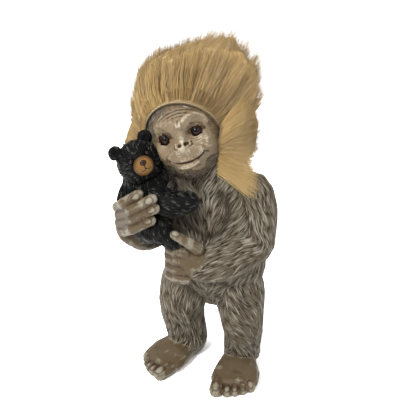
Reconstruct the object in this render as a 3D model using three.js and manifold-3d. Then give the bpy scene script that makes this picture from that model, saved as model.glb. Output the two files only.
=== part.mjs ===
import * as THREE from "three";
import { mergeVertices } from "three/addons/utils/BufferGeometryUtils.js";
import Module from "manifold-3d";

// A standing bigfoot figurine in painted cast resin, hugging a bear cub, with a slip-on faux-fur wig.
// Millimetres, +Z up, the figure faces -Y and its own left hand is at +X. The soles stand on z = 0.

// Gaps between neighbouring pieces, and between the wig and what it sits on
const seamGap = 0.3;
const wigGap = 0.8;

// Legs and feet: heights are from the floor, spreads are from the middle of the figure.
// The whole upper body stands on the hips, and rises with them.
const hipHeight = 105.9;
const kneeHeight = 68.1;
const ankleHeight = 26.1;
const hipSpread = 26;
const kneeSpread = 35;
const ankleSpread = 33;
const thighRadius = 27;
const leftLegIn = 2;
const leftFootIn = 4;
const kneeRadius = 23;
const ankleRadius = 19.5;
const footLength = 84;
const footWidth = 48.5;
const footHeight = 29;
const soleCut = 2.2;
const heelWidth = 32;
const toeTurnOut = 18;
const toeRadius = 5.2;
const bigToeRadius = 7.2;
const toeLength = 17;
const toePitch = 7.4;

// Trunk
const crotchHeight = hipHeight - 43.8;
const bellyHeight = hipHeight + 30;
const bellyWidth = 104;
const bellyDepth = 82;
const chestHeight = bellyHeight + 46.2;
const chestWidth = 98;
const chestDepth = 70;
const neckHeight = chestHeight + 39.9;
const neckWidth = 66;
const neckLean = 8;
const breast = [25, 20, 24];
const breastCentre = [6, -16, chestHeight + 5];

// Arms and hands
const shoulderHeight = chestHeight + 12;
const shoulderSpread = 36;
const armRadius = 20;
const elbowRadius = 20;
const forearmRadius = 19;
const wristRadius = 15;
const upperArmLength = 42.6;
const fingerRadius = 5.1;
const fingerPitch = 9.3;
const thumbRadius = 5.2;

// Head, in its own frame: x to the figure's left, -y out of the face, z to the crown
const headTurn = 20;
const headNod = -14;
const headTilt = -19;
const headWidth = 70;
const headDepth = 74;
const headHeight = 84;
const headCentre = [-22, -20, neckHeight - 6 + headHeight / 2];
const eyeSpread = 14.8;
const eyeRadius = 4.6;
const eyeHeight = 1;
const eyeSink = 7;
const muzzlePush = 11;
const chinPush = 5;
const browPush = 5.5;
const socketSink = 6;
const cheekPush = 4;
const nosePush = 4;
const mouthRadius = 0.9;
const nostrilRadius = 1.9;

// Bear cub, held against the chest
const cubBodyWidth = 42;
const cubBodyDepth = 50;
const cubBodyCentre = [-44, -chestDepth / 2 - 21, chestHeight + 7.9];
const cubHeadRadius = 20.5;
const cubHeadCentre = [
  cubBodyCentre[0] - 3.4,
  cubBodyCentre[1] - 8.5,
  cubBodyCentre[2] + 30.4 + cubHeadRadius,
];
const cubHeadTurn = 42;
const cubHeadNod = -13;
const cubHeadTilt = -24;
const cubEarRadius = 6.4;
const cubMuzzleRadius = 9.5;
const cubNoseRadius = 2.6;
const cubEyeRadius = 2.2;
const cubEyeSpread = 8.2;
const cubLimbRadius = 10;

// Wig
const wigTurn = 20;
const capThickness = 1.6;
const braidRadius = 1.8;
const furLength = 60;
const rearLength = furLength * 0.633;
const liftRoom = headHeight * 1.55;

// Where the wig's front edge runs over the forehead and down the cheeks, and its lower edge at the nape
const edgeForward = -3.5;
const edgeSlope = -0.35;
const napeDrop = -26;

const X = new THREE.Vector3(1, 0, 0);
const Y = new THREE.Vector3(0, 1, 0);
const Z = new THREE.Vector3(0, 0, 1);
const vec = (p) => new THREE.Vector3(...p);
const radians = THREE.MathUtils.degToRad;

const wasm = await Module();
wasm.setup();

// A closed skin over rings of points, from one pole to the other.
function skin(startPole, rings, endPole) {
  const sides = rings[0].length;
  const points = [startPole, ...rings.flat(), endPole];
  const last = points.length - 1;
  const faces = [];
  const at = (ring, side) => 1 + ring * sides + (side % sides);
  for (let side = 0; side < sides; side++) {
    faces.push(0, at(0, side + 1), at(0, side));
    faces.push(last, at(rings.length - 1, side), at(rings.length - 1, side + 1));
    for (let ring = 0; ring + 1 < rings.length; ring++) {
      const [a, b] = [at(ring, side), at(ring, side + 1)];
      const [c, d] = [at(ring + 1, side), at(ring + 1, side + 1)];
      faces.push(a, b, d, a, d, c);
    }
  }
  const geometry = new THREE.BufferGeometry().setFromPoints(points);
  geometry.setIndex(faces);
  return geometry;
}

// A limb: oval rings on a smooth line through stations [x, y, z, halfAcross, halfDeep], with domed ends.
// The rings stand square to the line, or all face one way where facing is given.
function limb(stations, { sides = 14, steps = 3, across = X, facing = null, grow = 0, dome = 1 } = {}) {
  const line = new THREE.CatmullRomCurve3(stations.map(([x, y, z]) => vec([x, y, z])));
  const sizes = new THREE.CatmullRomCurve3(stations.map((s) => vec([s[3], s[4] ?? s[3], 0])));
  const count = (stations.length - 1) * steps;
  const ring = (t, shrink, push) => {
    const tangent = facing ?? line.getTangent(t);
    const wide = across.clone().addScaledVector(tangent, -across.dot(tangent)).normalize();
    const deep = tangent.clone().cross(wide);
    const size = sizes.getPoint(t);
    const reach = Math.min(size.x, size.y) * dome + grow;
    const centre = line.getPoint(t).addScaledVector(tangent, push * reach);
    return Array.from({ length: sides }, (_, i) => {
      const turn = (2 * Math.PI * i) / sides;
      return centre
        .clone()
        .addScaledVector(wide, Math.cos(turn) * (size.x + grow) * shrink)
        .addScaledVector(deep, Math.sin(turn) * (size.y + grow) * shrink);
    });
  };
  const domeAngles = [70, 40].map(radians);
  const rings = domeAngles.map((angle) => ring(0, Math.cos(angle), -Math.sin(angle)));
  for (let i = 0; i <= count; i++) rings.push(ring(i / count, 1, 0));
  for (const angle of domeAngles.slice().reverse()) rings.push(ring(1, Math.cos(angle), Math.sin(angle)));
  return skin(ring(0, 0, -1)[0], rings, ring(1, 0, 1)[0]);
}

// Stations given from a base point.
const from = ([x, y, z], stations) =>
  stations.map(([dx, dy, dz, ...half]) => [x + dx, y + dy, z + dz, ...half]);

// The direction at an angle from +Z, turned about it.
const heading = (polar, turn) =>
  new THREE.Vector3(Math.sin(polar) * Math.cos(turn), Math.sin(polar) * Math.sin(turn), Math.cos(polar));

// A rounded form with its own half sizes, pushed out or in by bumps [direction, width, push].
function bumpy(half, bumps = []) {
  return (n, grow = 0) => {
    const p = new THREE.Vector3(n.x * (half[0] + grow), n.y * (half[1] + grow), n.z * (half[2] + grow));
    for (const [direction, width, push] of bumps) {
      const near = Math.exp(-((n.angleTo(vec(direction)) / width) ** 2));
      p.addScaledVector(vec(push), near);
    }
    return p;
  };
}

// The closed skin of a rounded form. Rings crowd towards the pole where crowd is above 1.
function ball(surface, { across = 20, down = 14, pole = Z, crowd = 1, grow = 0 } = {}) {
  const toPole = new THREE.Quaternion().setFromUnitVectors(Z, pole);
  const point = (polar, turn) => surface(heading(polar, turn).applyQuaternion(toPole), grow);
  const rings = [];
  for (let row = 1; row < down; row++) {
    const polar = Math.PI * (row / down) ** crowd;
    rings.push(Array.from({ length: across }, (_, i) => point(polar, (-2 * Math.PI * i) / across)));
  }
  return skin(point(0, 0), rings, point(Math.PI, 0));
}

// A geometry as a solid for joining and cutting, in the figure's frame.
function solid(geometry, frame = new THREE.Matrix4()) {
  const bare = geometry.clone().applyMatrix4(frame);
  bare.deleteAttribute("normal");
  bare.deleteAttribute("uv");
  const merged = mergeVertices(bare, 1e-4);
  const made = new wasm.Manifold(
    new wasm.Mesh({
      numProp: 3,
      vertProperties: new Float32Array(merged.attributes.position.array),
      triVerts: new Uint32Array(merged.index.array),
    }),
  );
  if (made.volume() <= 0) throw new Error("a shape is inside out");
  return made;
}

const joined = (solids) => solids.reduce((whole, next) => whole.add(next));
const cutFrom = (whole, cutters) => cutters.reduce((left, cutter) => left.subtract(cutter), whole);
const frameOf = (centre, nod = 0, tilt = 0, turn = 0) =>
  new THREE.Matrix4().compose(
    vec(centre),
    new THREE.Quaternion().setFromEuler(new THREE.Euler(radians(nod), radians(tilt), radians(turn), "ZXY")),
    new THREE.Vector3(1, 1, 1),
  );

// What lies under the floor, cut from the feet to leave flat soles
const floorWidth = footLength * 5;
const floorDepth = footHeight * 2;
const underFloor = solid(
  new THREE.BoxGeometry(floorWidth, floorWidth, floorDepth).translate(0, 0, -floorDepth / 2),
);

// Trunk: pelvis, belly, chest and the root of the neck in one casting
const trunk = (grow = 0) =>
  joined(
    [
      ball(bumpy(breast), { across: 14, down: 9, grow }).translate(...breastCentre),
      limb(
        [
          [0, 5, crotchHeight + 20, 26, 18],
          [0, 5, hipHeight - 5.9, bellyWidth / 2 - 7, bellyDepth / 2 - 8],
          [0, 2, hipHeight + 12.1, bellyWidth / 2 - 1, bellyDepth / 2 - 2],
          [0, 0, bellyHeight, bellyWidth / 2, bellyDepth / 2],
          [2, 1, bellyHeight + 24.1, bellyWidth / 2 - 3, bellyDepth / 2 - 3],
          [3, 2, chestHeight, chestWidth / 2, chestDepth / 2],
          [2, 2, shoulderHeight + 7.9, chestWidth / 2 - 6, chestDepth / 2 - 5],
          [-9, -3, neckHeight - 6, neckWidth / 2 + 2, neckWidth / 2 - 3],
          [-14, -neckLean, neckHeight + 10, neckWidth / 2 - 4, neckWidth / 2 - 6],
        ],
        { sides: 22, steps: 2, facing: Z, grow, dome: 0.7 },
      ),
    ].map((g) => solid(g)),
  );

// Legs: side is 1 for the figure's left and -1 for its right. The left one is slimmer and stands closer in.
const leg = (side, grow = 0) => {
  const inward = side > 0 ? leftLegIn : 0;
  const at = (spread, y, z, across, deep) => [side * (spread - inward), y, z, across - inward, deep - inward];
  return solid(
    limb(
      [
        at(hipSpread - 6, 4, hipHeight + 14, thighRadius - 6, thighRadius - 2),
        at(hipSpread, 3, hipHeight, thighRadius - 2, thighRadius + 3),
        at(hipSpread + 5, -1, hipHeight - 18, thighRadius - 1, thighRadius + 1),
        at(kneeSpread, -5, kneeHeight, kneeRadius, kneeRadius + 1),
        at(kneeSpread + 0.5, -1, (kneeHeight + ankleHeight) / 2 - 1.1, ankleRadius + 1, ankleRadius + 2),
        at(ankleSpread, 2, ankleHeight, ankleRadius, ankleRadius + 1),
        at(ankleSpread, 3, ankleHeight - 9, ankleRadius, ankleRadius + 2),
      ],
      { sides: 16, steps: 2, grow, dome: 0.4 },
    ),
  );
};

const footFrame = (side) =>
  frameOf([side * ankleSpread - (side > 0 ? leftFootIn : 0), 2, -soleCut], 0, 0, side * toeTurnOut);
const foot = (side, grow = 0) => {
  const ball = -footLength / 2 + 6;
  const sole = limb(
    [
      [0, 14, footHeight / 2 - 1, heelWidth / 2 - 3, footHeight / 2 - 1],
      [0, 7, footHeight / 2, heelWidth / 2, footHeight / 2],
      [0, -8, footHeight / 2, heelWidth / 2 + 2, footHeight / 2],
      [0, -24, footHeight / 2 - 2, footWidth / 2 - 1, footHeight / 2 - 2],
      [-side, ball, footHeight / 2 - 4.5, footWidth / 2, footHeight / 2 - 4.5],
      [-side, ball - 9, footHeight / 2 - 6, footWidth / 2 - 2, footHeight / 2 - 6],
    ],
    { sides: 14, steps: 1, grow, dome: 0.6 },
  );
  const toes = [0, 1, 2, 3, 4].map((i) => {
    const radius = i === 0 ? bigToeRadius : toeRadius * (1.08 - i * 0.05);
    const across = side * (-footWidth / 2 + bigToeRadius + (i === 0 ? 0 : toePitch * (i + 0.45)));
    const reach = ball - 3 - toeLength * (1 - 0.045 * i * i);
    return limb(
      [
        [across * 0.9, ball + 4, soleCut + radius, radius],
        [across, (ball + reach) / 2, soleCut + radius - 0.5, radius],
        [across * 1.02, reach, soleCut + radius - 1, radius - 0.3],
      ],
      { sides: 8, steps: 1, grow },
    );
  });
  return joined([sole, ...toes].map((g) => solid(g, footFrame(side)))).subtract(underFloor);
};

// Arms: the upper arms hang from the shoulders, and the elbows carry the forearms
const leftElbow = [shoulderSpread + 9.5, -6, shoulderHeight - upperArmLength];
const leftWrist = [leftElbow[0] - 34.5, leftElbow[1] - 45, leftElbow[2] - 12];
const rightElbow = [-shoulderSpread - 14, -4, shoulderHeight - upperArmLength + 3];
const rightWrist = [rightElbow[0] - 8, rightElbow[1] - 44, rightElbow[2] + 1];
const leftArm = (grow = 0) =>
  solid(
    limb(
      [
        [shoulderSpread + 1, 4, shoulderHeight + 4, armRadius + 1, armRadius + 1],
        [shoulderSpread + 7, 3, shoulderHeight - 12, armRadius + 0.5, armRadius],
        [leftElbow[0], leftElbow[1] + 6, leftElbow[2] + 14, armRadius - 1, armRadius - 2],
        [...leftElbow, elbowRadius - 1, elbowRadius - 1],
      ],
      { sides: 14, steps: 2, across: Y, grow },
    ),
  );
const leftForearm = (grow = 0) =>
  solid(
    limb(
      from(leftElbow, [
        [-2, -3, 0, elbowRadius - 1],
        [-11, -21, -6, forearmRadius],
        [-23, -36, -10, forearmRadius - 1],
        [-34.5, -45, -12, wristRadius],
      ]),
      { sides: 14, steps: 2, across: Z, grow },
    ),
  );
const leftHand = (grow = 0) => {
  const palm = limb(
    from(leftWrist, [
      [4, -1, 2, wristRadius - 1, 12],
      [-6, -6, 4, wristRadius + 1, 11],
      [-16, -9, 6, wristRadius + 3, 9],
    ]),
    { sides: 12, steps: 2, across: Z, grow, dome: 0.5 },
  );
  const fingers = [0, 1, 2, 3].map((i) => {
    const rise = 17 - i * fingerPitch;
    return limb(
      from(leftWrist, [
        [-11, -13, rise, fingerRadius],
        [-20, -15, rise + 0.5, fingerRadius + 0.2],
        [-29, -11, rise + 0.5, fingerRadius],
        [-34, -3, rise, fingerRadius - 0.5],
      ]),
      { sides: 8, steps: 1, across: Z, grow },
    );
  });
  const thumb = limb(
    from(leftWrist, [
      [0, -8, 22, thumbRadius + 1],
      [-6, -18, 32, thumbRadius - 0.2],
      [-17, -23, 39, thumbRadius - 1],
    ]),
    { sides: 10, steps: 2, across: Z, grow },
  );
  return joined([palm, ...fingers, thumb].map((g) => solid(g)));
};
const rightArm = (grow = 0) =>
  solid(
    limb(
      [
        [-shoulderSpread - 1, 4, shoulderHeight + 4, armRadius + 1, armRadius + 1],
        [-shoulderSpread - 7, 3, shoulderHeight - 12, armRadius - 0.5, armRadius - 1],
        [rightElbow[0] + 1, rightElbow[1] + 5, rightElbow[2] + 13, armRadius - 3, armRadius - 3],
        [...rightElbow, elbowRadius - 4],
      ],
      { sides: 14, steps: 2, across: Y, grow },
    ),
  );
const rightForearm = (grow = 0) =>
  solid(
    limb(
      from(rightElbow, [
        [0, -1, 0, elbowRadius - 4],
        [-2, -16, -3, forearmRadius - 5],
        [-5, -32, -3, wristRadius - 1],
        [-8, -44, 1, wristRadius - 1],
      ]),
      { sides: 14, steps: 2, across: Z, grow },
    ),
  );
const rightFingerPitch = 8;
const rightFingertips = [
  [21, -37, 62],
  [37, -40, 62],
  [39, -39, 52.5],
  [34, -38, 39],
];
const rightHand = (grow = 0) => {
  const palm = limb(
    from(rightWrist, [
      [1, -2, -1, wristRadius - 4, wristRadius - 3],
      [-5, -10, 11, 9, wristRadius + 2],
      [-7, -14, 25, 7, wristRadius + 3],
      [-6, -12, 37, 6, wristRadius - 2],
    ]),
    { sides: 12, steps: 2, across: X, grow, dome: 0.6 },
  );
  const fingers = [0, 1, 2, 3].map((i) => {
    const knuckle = vec([-7 + i * 2, -29, 41 - i * rightFingerPitch]);
    const tip = vec(rightFingertips[i]);
    const middle = knuckle.clone().lerp(tip, 0.5).add(vec([-2, -6, -1]));
    return limb(
      from(rightWrist, [
        [-7 + i, -18, 37 - i * rightFingerPitch, fingerRadius],
        [...knuckle.toArray(), fingerRadius + 0.3],
        [...middle.toArray(), fingerRadius + 0.2],
        [...tip.toArray(), fingerRadius - 0.2],
      ]),
      { sides: 8, steps: 1, across: Z, grow },
    );
  });
  const thumb = limb(
    from(rightWrist, [
      [-4, -6, 29, thumbRadius + 1],
      [-8, -2, 44, thumbRadius],
      [-7, -2, 55, thumbRadius - 0.6],
    ]),
    { sides: 10, steps: 2, across: X, grow },
  );
  return joined([palm, ...fingers, thumb].map((g) => solid(g)));
};

// Head
const headFrame = frameOf(headCentre, headNod, headTilt, headTurn);
const headSurface = bumpy(
  [headWidth / 2, headDepth / 2, headHeight / 2],
  [
    [[0, -0.85, -0.5], 0.45, [0, -muzzlePush, -2]],
    [[0, -0.6, -0.8], 0.35, [0, -chinPush, -1]],
    [[0.36, -0.9, 0.3], 0.24, [0, -browPush, 1]],
    [[-0.36, -0.9, 0.3], 0.24, [0, -browPush, 1]],
    [[0, -0.95, 0.3], 0.2, [0, -1.5, 0]],
    [[0.4, -0.9, 0.03], 0.18, [0, socketSink, 0]],
    [[-0.4, -0.9, 0.03], 0.18, [0, socketSink, 0]],
    [[0.62, -0.72, -0.25], 0.3, [1, -cheekPush, 0]],
    [[-0.62, -0.72, -0.25], 0.3, [-1, -cheekPush, 0]],
    [[0, -0.98, -0.17], 0.14, [0, -nosePush, 0]],
  ],
);
const face = new THREE.Vector3(0, -1, 0);
const skull = (grow = 0) => ball(headSurface, { across: 28, down: 20, pole: face, crowd: 1.25, grow });
const onFace = (direction) => headSurface(vec(direction).normalize()).toArray();
const eye = (side, grow = 0) => {
  const centre = [side * eyeSpread, -headDepth / 2 + eyeSink, eyeHeight];
  const round = bumpy([eyeRadius, eyeRadius, eyeRadius]);
  return solid(ball(round, { across: 12, down: 8, pole: face, grow }).translate(...centre), headFrame);
};
const mouthGroove = limb(
  [-1, -0.5, 0, 0.5, 1].map((s) => [...onFace([0.5 * s, -0.82, -0.56 + 0.1 * s * s]), mouthRadius]),
  { sides: 6, across: Z },
);
const nostril = (side) => {
  const hollow = bumpy([nostrilRadius, nostrilRadius * 1.26, nostrilRadius * 0.79]);
  return ball(hollow, { across: 8, down: 6 }).translate(...onFace([side * 0.1, -0.95, -0.29]));
};
const head = (grow = 0) => solid(skull(grow), headFrame);
const carvedHead = () => {
  const grooves = [mouthGroove, nostril(-1), nostril(1)].map((g) => solid(g, headFrame));
  return cutFrom(head(), grooves);
};

// Bear cub
const cubHeadFrame = frameOf(cubHeadCentre, cubHeadNod, cubHeadTilt, cubHeadTurn);
const cubHead = (grow = 0) => {
  const r = cubHeadRadius;
  const ears = [-1, 1].map((side) =>
    ball(bumpy([cubEarRadius, cubEarRadius / 2, cubEarRadius]), { across: 10, down: 6, grow }).translate(
      side * r * 0.756,
      r * 0.1,
      r * 0.854,
    ),
  );
  const skullShape = ball(bumpy([r, r * 0.95, r]), { across: 18, down: 12, grow });
  return joined([skullShape, ...ears].map((g) => solid(g, cubHeadFrame)));
};
const cubMuzzleAt = [0, -cubHeadRadius * 0.83, -cubHeadRadius * 0.05];
const cubMuzzle = (grow = 0) => {
  const r = cubMuzzleRadius;
  const round = ball(bumpy([r, r * 0.95, r * 0.95]), { across: 14, down: 10, grow });
  return solid(round.translate(...cubMuzzleAt), cubHeadFrame);
};
const cubNose = (grow = 0) => {
  const r = cubNoseRadius;
  const round = ball(bumpy([r * 1.2, r, r * 0.9]), { across: 8, down: 6, grow });
  const [x, y, z] = cubMuzzleAt;
  return solid(
    round.translate(x, y - cubMuzzleRadius * 0.83, z + cubMuzzleRadius * 0.42),
    cubHeadFrame,
  );
};
const cubEye = (side, grow = 0) => {
  const r = cubEyeRadius;
  const at = [side * cubEyeSpread, -cubHeadRadius * 0.795, cubHeadRadius * 0.366];
  return solid(ball(bumpy([r, r, r]), { across: 8, down: 6, grow }).translate(...at), cubHeadFrame);
};
const cubBody = (grow = 0) =>
  solid(
    limb(
      from(cubBodyCentre, [
        [-4, 0, 34, cubBodyWidth / 2 - 3, cubBodyDepth / 2 - 6],
        [-4, 0, 18, cubBodyWidth / 2 - 1, cubBodyDepth / 2 - 2],
        [0, 0, 0, cubBodyWidth / 2, cubBodyDepth / 2],
        [4, 0, -13, cubBodyWidth / 2 - 1, cubBodyDepth / 2 - 1],
        [6, 1, -21, cubBodyWidth / 2 - 5, cubBodyDepth / 2 - 6],
      ]),
      { sides: 16, steps: 2, grow, dome: 0.6 },
    ),
  );
const cubLeftArm = (grow = 0) =>
  solid(
    limb(
      from(cubBodyCentre, [
        [7, 4, 33, cubLimbRadius + 2],
        [8, -6, 27, cubLimbRadius + 3],
        [19, -13, 20, cubLimbRadius + 2.5],
        [33, -12, 17, cubLimbRadius + 2],
        [46, -6, 19, cubLimbRadius],
      ]),
      { sides: 10, steps: 2, across: Z, grow },
    ),
  );
const cubRightArm = (grow = 0) =>
  solid(
    limb(
      from(cubBodyCentre, [
        [-14, -10, 22, cubLimbRadius - 2],
        [-16, -16, 12, cubLimbRadius - 3],
        [-12, -22, 2, cubLimbRadius - 4],
      ]),
      { sides: 10, steps: 2, across: Z, grow },
    ),
  );
const cubLeftLeg = (grow = 0) =>
  solid(
    limb(
      from(cubBodyCentre, [
        [8, -13, -10, cubLimbRadius + 4.5],
        [19, -16, -11, cubLimbRadius + 4],
        [28, -16, -15, cubLimbRadius],
        [33, -15, -21, cubLimbRadius - 3],
      ]),
      { sides: 10, steps: 2, across: Z, grow },
    ),
  );

// Wig, in a frame that turns with the head but stands upright, so that it lifts straight off
const wigFrame = frameOf(headCentre, 0, 0, wigTurn);
const wigFromHead = wigFrame.clone().invert().multiply(headFrame);
const headFromWig = wigFromHead.clone().invert();

// A point of the head's rounded form, gap away from it, in the wig's frame. n is a direction there.
function scalp(n, gap) {
  const inHead = n.clone().transformDirection(headFromWig);
  const half = vec([headWidth / 2 + gap, headDepth / 2 + gap, headHeight / 2 + gap]);
  return inHead.multiply(half).applyMatrix4(wigFromHead);
}

// The head as the wig passes it: everything under its widest level is carried down by the lift.
const wigFacets = { across: 26, down: 15 };
const passedHead = (gap) => {
  const surface = (n) => {
    const point = headSurface(n.clone().transformDirection(headFromWig), gap).applyMatrix4(wigFromHead);
    return n.z < 0 ? point.sub(new THREE.Vector3(0, 0, liftRoom)) : point;
  };
  return solid(ball(surface, wigFacets), wigFrame);
};

// The cub's head as the wig passes it, with the space straight under it.
const passedCub = (gap) => {
  const whole = cubHead(gap);
  return wasm.Manifold.hull([whole, whole.translate([0, 0, -cubHeadRadius * 2])]);
};

// What lies in front of the wig's front edge, and what lies under its nape
const frontOfEdge = (() => {
  const size = headHeight * 4;
  const block = new THREE.BoxGeometry(size, size, size).translate(0, -size / 2, 0);
  const lean = new THREE.Matrix4().makeRotationX(-Math.atan(edgeSlope)).setPosition(0, edgeForward, 0);
  return solid(block.applyMatrix4(lean), wigFrame);
})();
const underNape = (() => {
  const size = headHeight * 4;
  return solid(new THREE.BoxGeometry(size, size, size).translate(0, 0, napeDrop - size / 2), wigFrame);
})();
const capSweep = (grow = 0) => {
  const outer = (n) => {
    const point = scalp(n, wigGap + capThickness + grow);
    return n.z < 0 ? point.sub(new THREE.Vector3(0, 0, liftRoom)) : point;
  };
  return solid(ball(outer, wigFacets), wigFrame);
};
const cap = (grow = 0) => cutFrom(capSweep(grow), [passedHead(wigGap), frontOfEdge, underNape]);

// How the pile is combed, seen from the face side: [turn of the scalp, turn of the strands, length]
const combing = [
  [-180, -239, furLength * 0.45],
  [-167, -215, furLength * 0.35],
  [-158, -180, furLength * 0.56],
  [-140, -150, furLength * 0.56],
  [-90, -80, furLength * 0.63],
  [-50, -10, furLength * 0.8],
  [-32, 4, furLength * 0.62],
  [-18, 26, furLength * 0.66],
  [0, 43, furLength * 0.7],
  [15, 46, furLength * 0.86],
  [40, 55, furLength * 1.08],
  [62, 68, furLength * 1.12],
  [90, 82, furLength * 0.82],
  [110, 91, furLength * 0.72],
  [130, 97, furLength * 0.73],
  [150, 103, furLength * 0.69],
  [165, 109, furLength * 0.56],
  [180, 121, furLength * 0.45],
];
const furJag = 0.1;
const jag = (turn) =>
  0.5 * Math.sin(7 * turn + 1) + 0.3 * Math.sin(13 * turn + 2) + 0.2 * Math.sin(23 * turn);

// The strand that grows from a scalp direction, as a vector from root to tip.
function strand(n) {
  const viewed = THREE.MathUtils.radToDeg(Math.atan2(n.z, n.x));
  const next = Math.max(1, combing.findIndex(([angle]) => angle >= viewed));
  const [[from, turnFrom, lengthFrom], [to, turnTo, lengthTo]] = [combing[next - 1], combing[next]];
  const share = (viewed - from) / (to - from);
  const turn = radians(THREE.MathUtils.lerp(turnFrom, turnTo, share));
  const inView = new THREE.Vector3(Math.cos(turn), 0.1, Math.sin(turn));
  const toRear = new THREE.Vector3(n.x * 0.5, 0.8, n.z - 0.25).normalize();
  const rear = THREE.MathUtils.smoothstep(n.y, 0.3, 0.95);
  const length = THREE.MathUtils.lerp(THREE.MathUtils.lerp(lengthFrom, lengthTo, share), rearLength, rear);
  return inView.lerp(toRear, rear).normalize().multiplyScalar(length);
}

// The pile: strand tips on the outside, roots on the cap, ring by ring from the crown to the edges
const furPole = new THREE.Vector3(0, 0.75, 0.66).normalize();
const rootGap = wigGap + capThickness + 1;
const furFacets = { across: 36, down: 6 };
const toFurPole = new THREE.Quaternion().setFromUnitVectors(Z, furPole);
const aroundPole = (polar, turn) => heading(polar, turn).applyQuaternion(toFurPole);
function edgeReach(turn) {
  const step = 0.03;
  let reach = 0.3;
  for (; reach < Math.PI; reach += step) {
    const p = scalp(aroundPole(reach, turn), wigGap + capThickness);
    if (p.y < edgeForward + edgeSlope * p.z || p.z < napeDrop) break;
  }
  return reach - step;
}
const pile = () => {
  const { across, down } = furFacets;
  const rows = Array.from({ length: down }, (_, row) =>
    Array.from({ length: across }, (_, i) => {
      const turn = (-2 * Math.PI * i) / across;
      const n = aroundPole((edgeReach(turn) * (row + 1)) / down, turn);
      const root = scalp(n, rootGap);
      const grown = 1 - furJag + furJag * jag(turn + row * 0.35);
      return { root, tip: root.clone().addScaledVector(strand(n), grown) };
    }),
  );
  const tips = rows.map((row) => row.map(({ tip }) => tip));
  const roots = rows.map((row) => row.map(({ root }) => root)).reverse();
  const crown = scalp(furPole, rootGap);
  return solid(skin(crown.clone().add(strand(furPole)), [...tips, ...roots], crown), wigFrame);
};

// The long lock at the left cheek: it leaves the front edge beside the face and falls outward to the shoulder
const tressRoot = [headWidth / 2 + 1, -8, -2];
const shoulderLevel = shoulderHeight - headCentre[2];
const tress = (grow = 0) =>
  solid(
    limb(
      [
        [...tressRoot, 6, 5],
        [46, -15, -16, 12, 6],
        [55, -18, -33, 11, 6],
        [63, -19, shoulderLevel + 16, 6.5, 4.5],
        [69, -18, shoulderLevel + 6, 1.5],
      ],
      { sides: 10, steps: 2, across: Z, grow },
    ),
    wigFrame,
  );

// The braided trim, a cord laid along the front edge just clear of the head
const braidEnds = [-32, 212];
const braidLine = Array.from({ length: 17 }, (_, i) => {
  const turn = radians(THREE.MathUtils.lerp(...braidEnds, i / 16));
  const forward = -(braidRadius + seamGap);
  const pointAt = (back) =>
    scalp(new THREE.Vector3(Math.cos(turn), back, Math.sin(turn)).normalize(), wigGap + braidRadius);
  const ahead = (p) => p.y < edgeForward + forward + edgeSlope * p.z;
  let [low, high] = [-2, 2];
  for (let step = 0; step < 24; step++) {
    const middle = (low + high) / 2;
    if (ahead(pointAt(middle))) low = middle;
    else high = middle;
  }
  return pointAt(low);
});
const braid = (grow = 0) => {
  const stations = braidLine.map((p) => [...p.toArray(), braidRadius]);
  return solid(limb(stations, { sides: 8, steps: 2, across: Y, grow }), wigFrame);
};

const materials = {
  resin: new THREE.MeshStandardMaterial({ color: 0x857462, roughness: 0.62, metalness: 0 }),
  skin: new THREE.MeshStandardMaterial({ color: 0x9a8a76, roughness: 0.55, metalness: 0 }),
  cub: new THREE.MeshStandardMaterial({ color: 0x23262a, roughness: 0.5, metalness: 0 }),
  muzzle: new THREE.MeshStandardMaterial({ color: 0xb07f3a, roughness: 0.6, metalness: 0 }),
  eye: new THREE.MeshStandardMaterial({ color: 0x1d0f0b, roughness: 0.08, metalness: 0 }),
  fur: new THREE.MeshStandardMaterial({ color: 0xb59b63, roughness: 0.85, metalness: 0 }),
  backing: new THREE.MeshStandardMaterial({ color: 0xa38a5a, roughness: 0.9, metalness: 0 }),
  braid: new THREE.MeshStandardMaterial({ color: 0xc2ab7c, roughness: 0.8, metalness: 0 }),
};

// The groups: the figure holds its head and the cub, the cub holds its own head, and the wig stands alone.
const upright = new THREE.Matrix4();
const cubFrame = frameOf(cubBodyCentre);
const groups = {};
function group(name, frame, parent) {
  const made = new THREE.Group();
  made.name = name;
  const inParent = parent ? groups[parent].frame.clone().invert().multiply(frame) : frame;
  inParent.decompose(made.position, made.quaternion, made.scale);
  groups[name] = { made, frame };
  if (parent) groups[parent].made.add(made);
}
group("figurine", upright);
group("figure", upright, "figurine");
group("figure_head", headFrame, "figure");
group("cub", cubFrame, "figure");
group("cub_face", cubHeadFrame, "cub");
group("wig", wigFrame, "figurine");

// Adds a named piece to a group. The piece is cut clear of the shapes around it, and slivers are dropped.
function piece(home, name, material, shape, around = []) {
  const bodies = cutFrom(shape(0), around.map((other) => other(seamGap))).decompose();
  const [cut] = bodies.sort((a, b) => b.volume() - a.volume());
  const { vertProperties, triVerts } = cut.getMesh();
  const geometry = new THREE.BufferGeometry();
  geometry.setAttribute("position", new THREE.BufferAttribute(vertProperties, 3));
  geometry.setIndex(new THREE.BufferAttribute(triVerts, 1));
  geometry.applyMatrix4(groups[home].frame.clone().invert());
  geometry.computeVertexNormals();
  const mesh = new THREE.Mesh(geometry, materials[material]);
  mesh.name = name;
  groups[home].made.add(mesh);
}

const both = (shape) => [(grow) => shape(-1, grow), (grow) => shape(1, grow)];
const [rightLeg, leftLeg] = both(leg);
const [rightFoot, leftFoot] = both(foot);
const [rightEye, leftEye] = both(eye);
const [cubRightEye, cubLeftEye] = both(cubEye);

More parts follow.
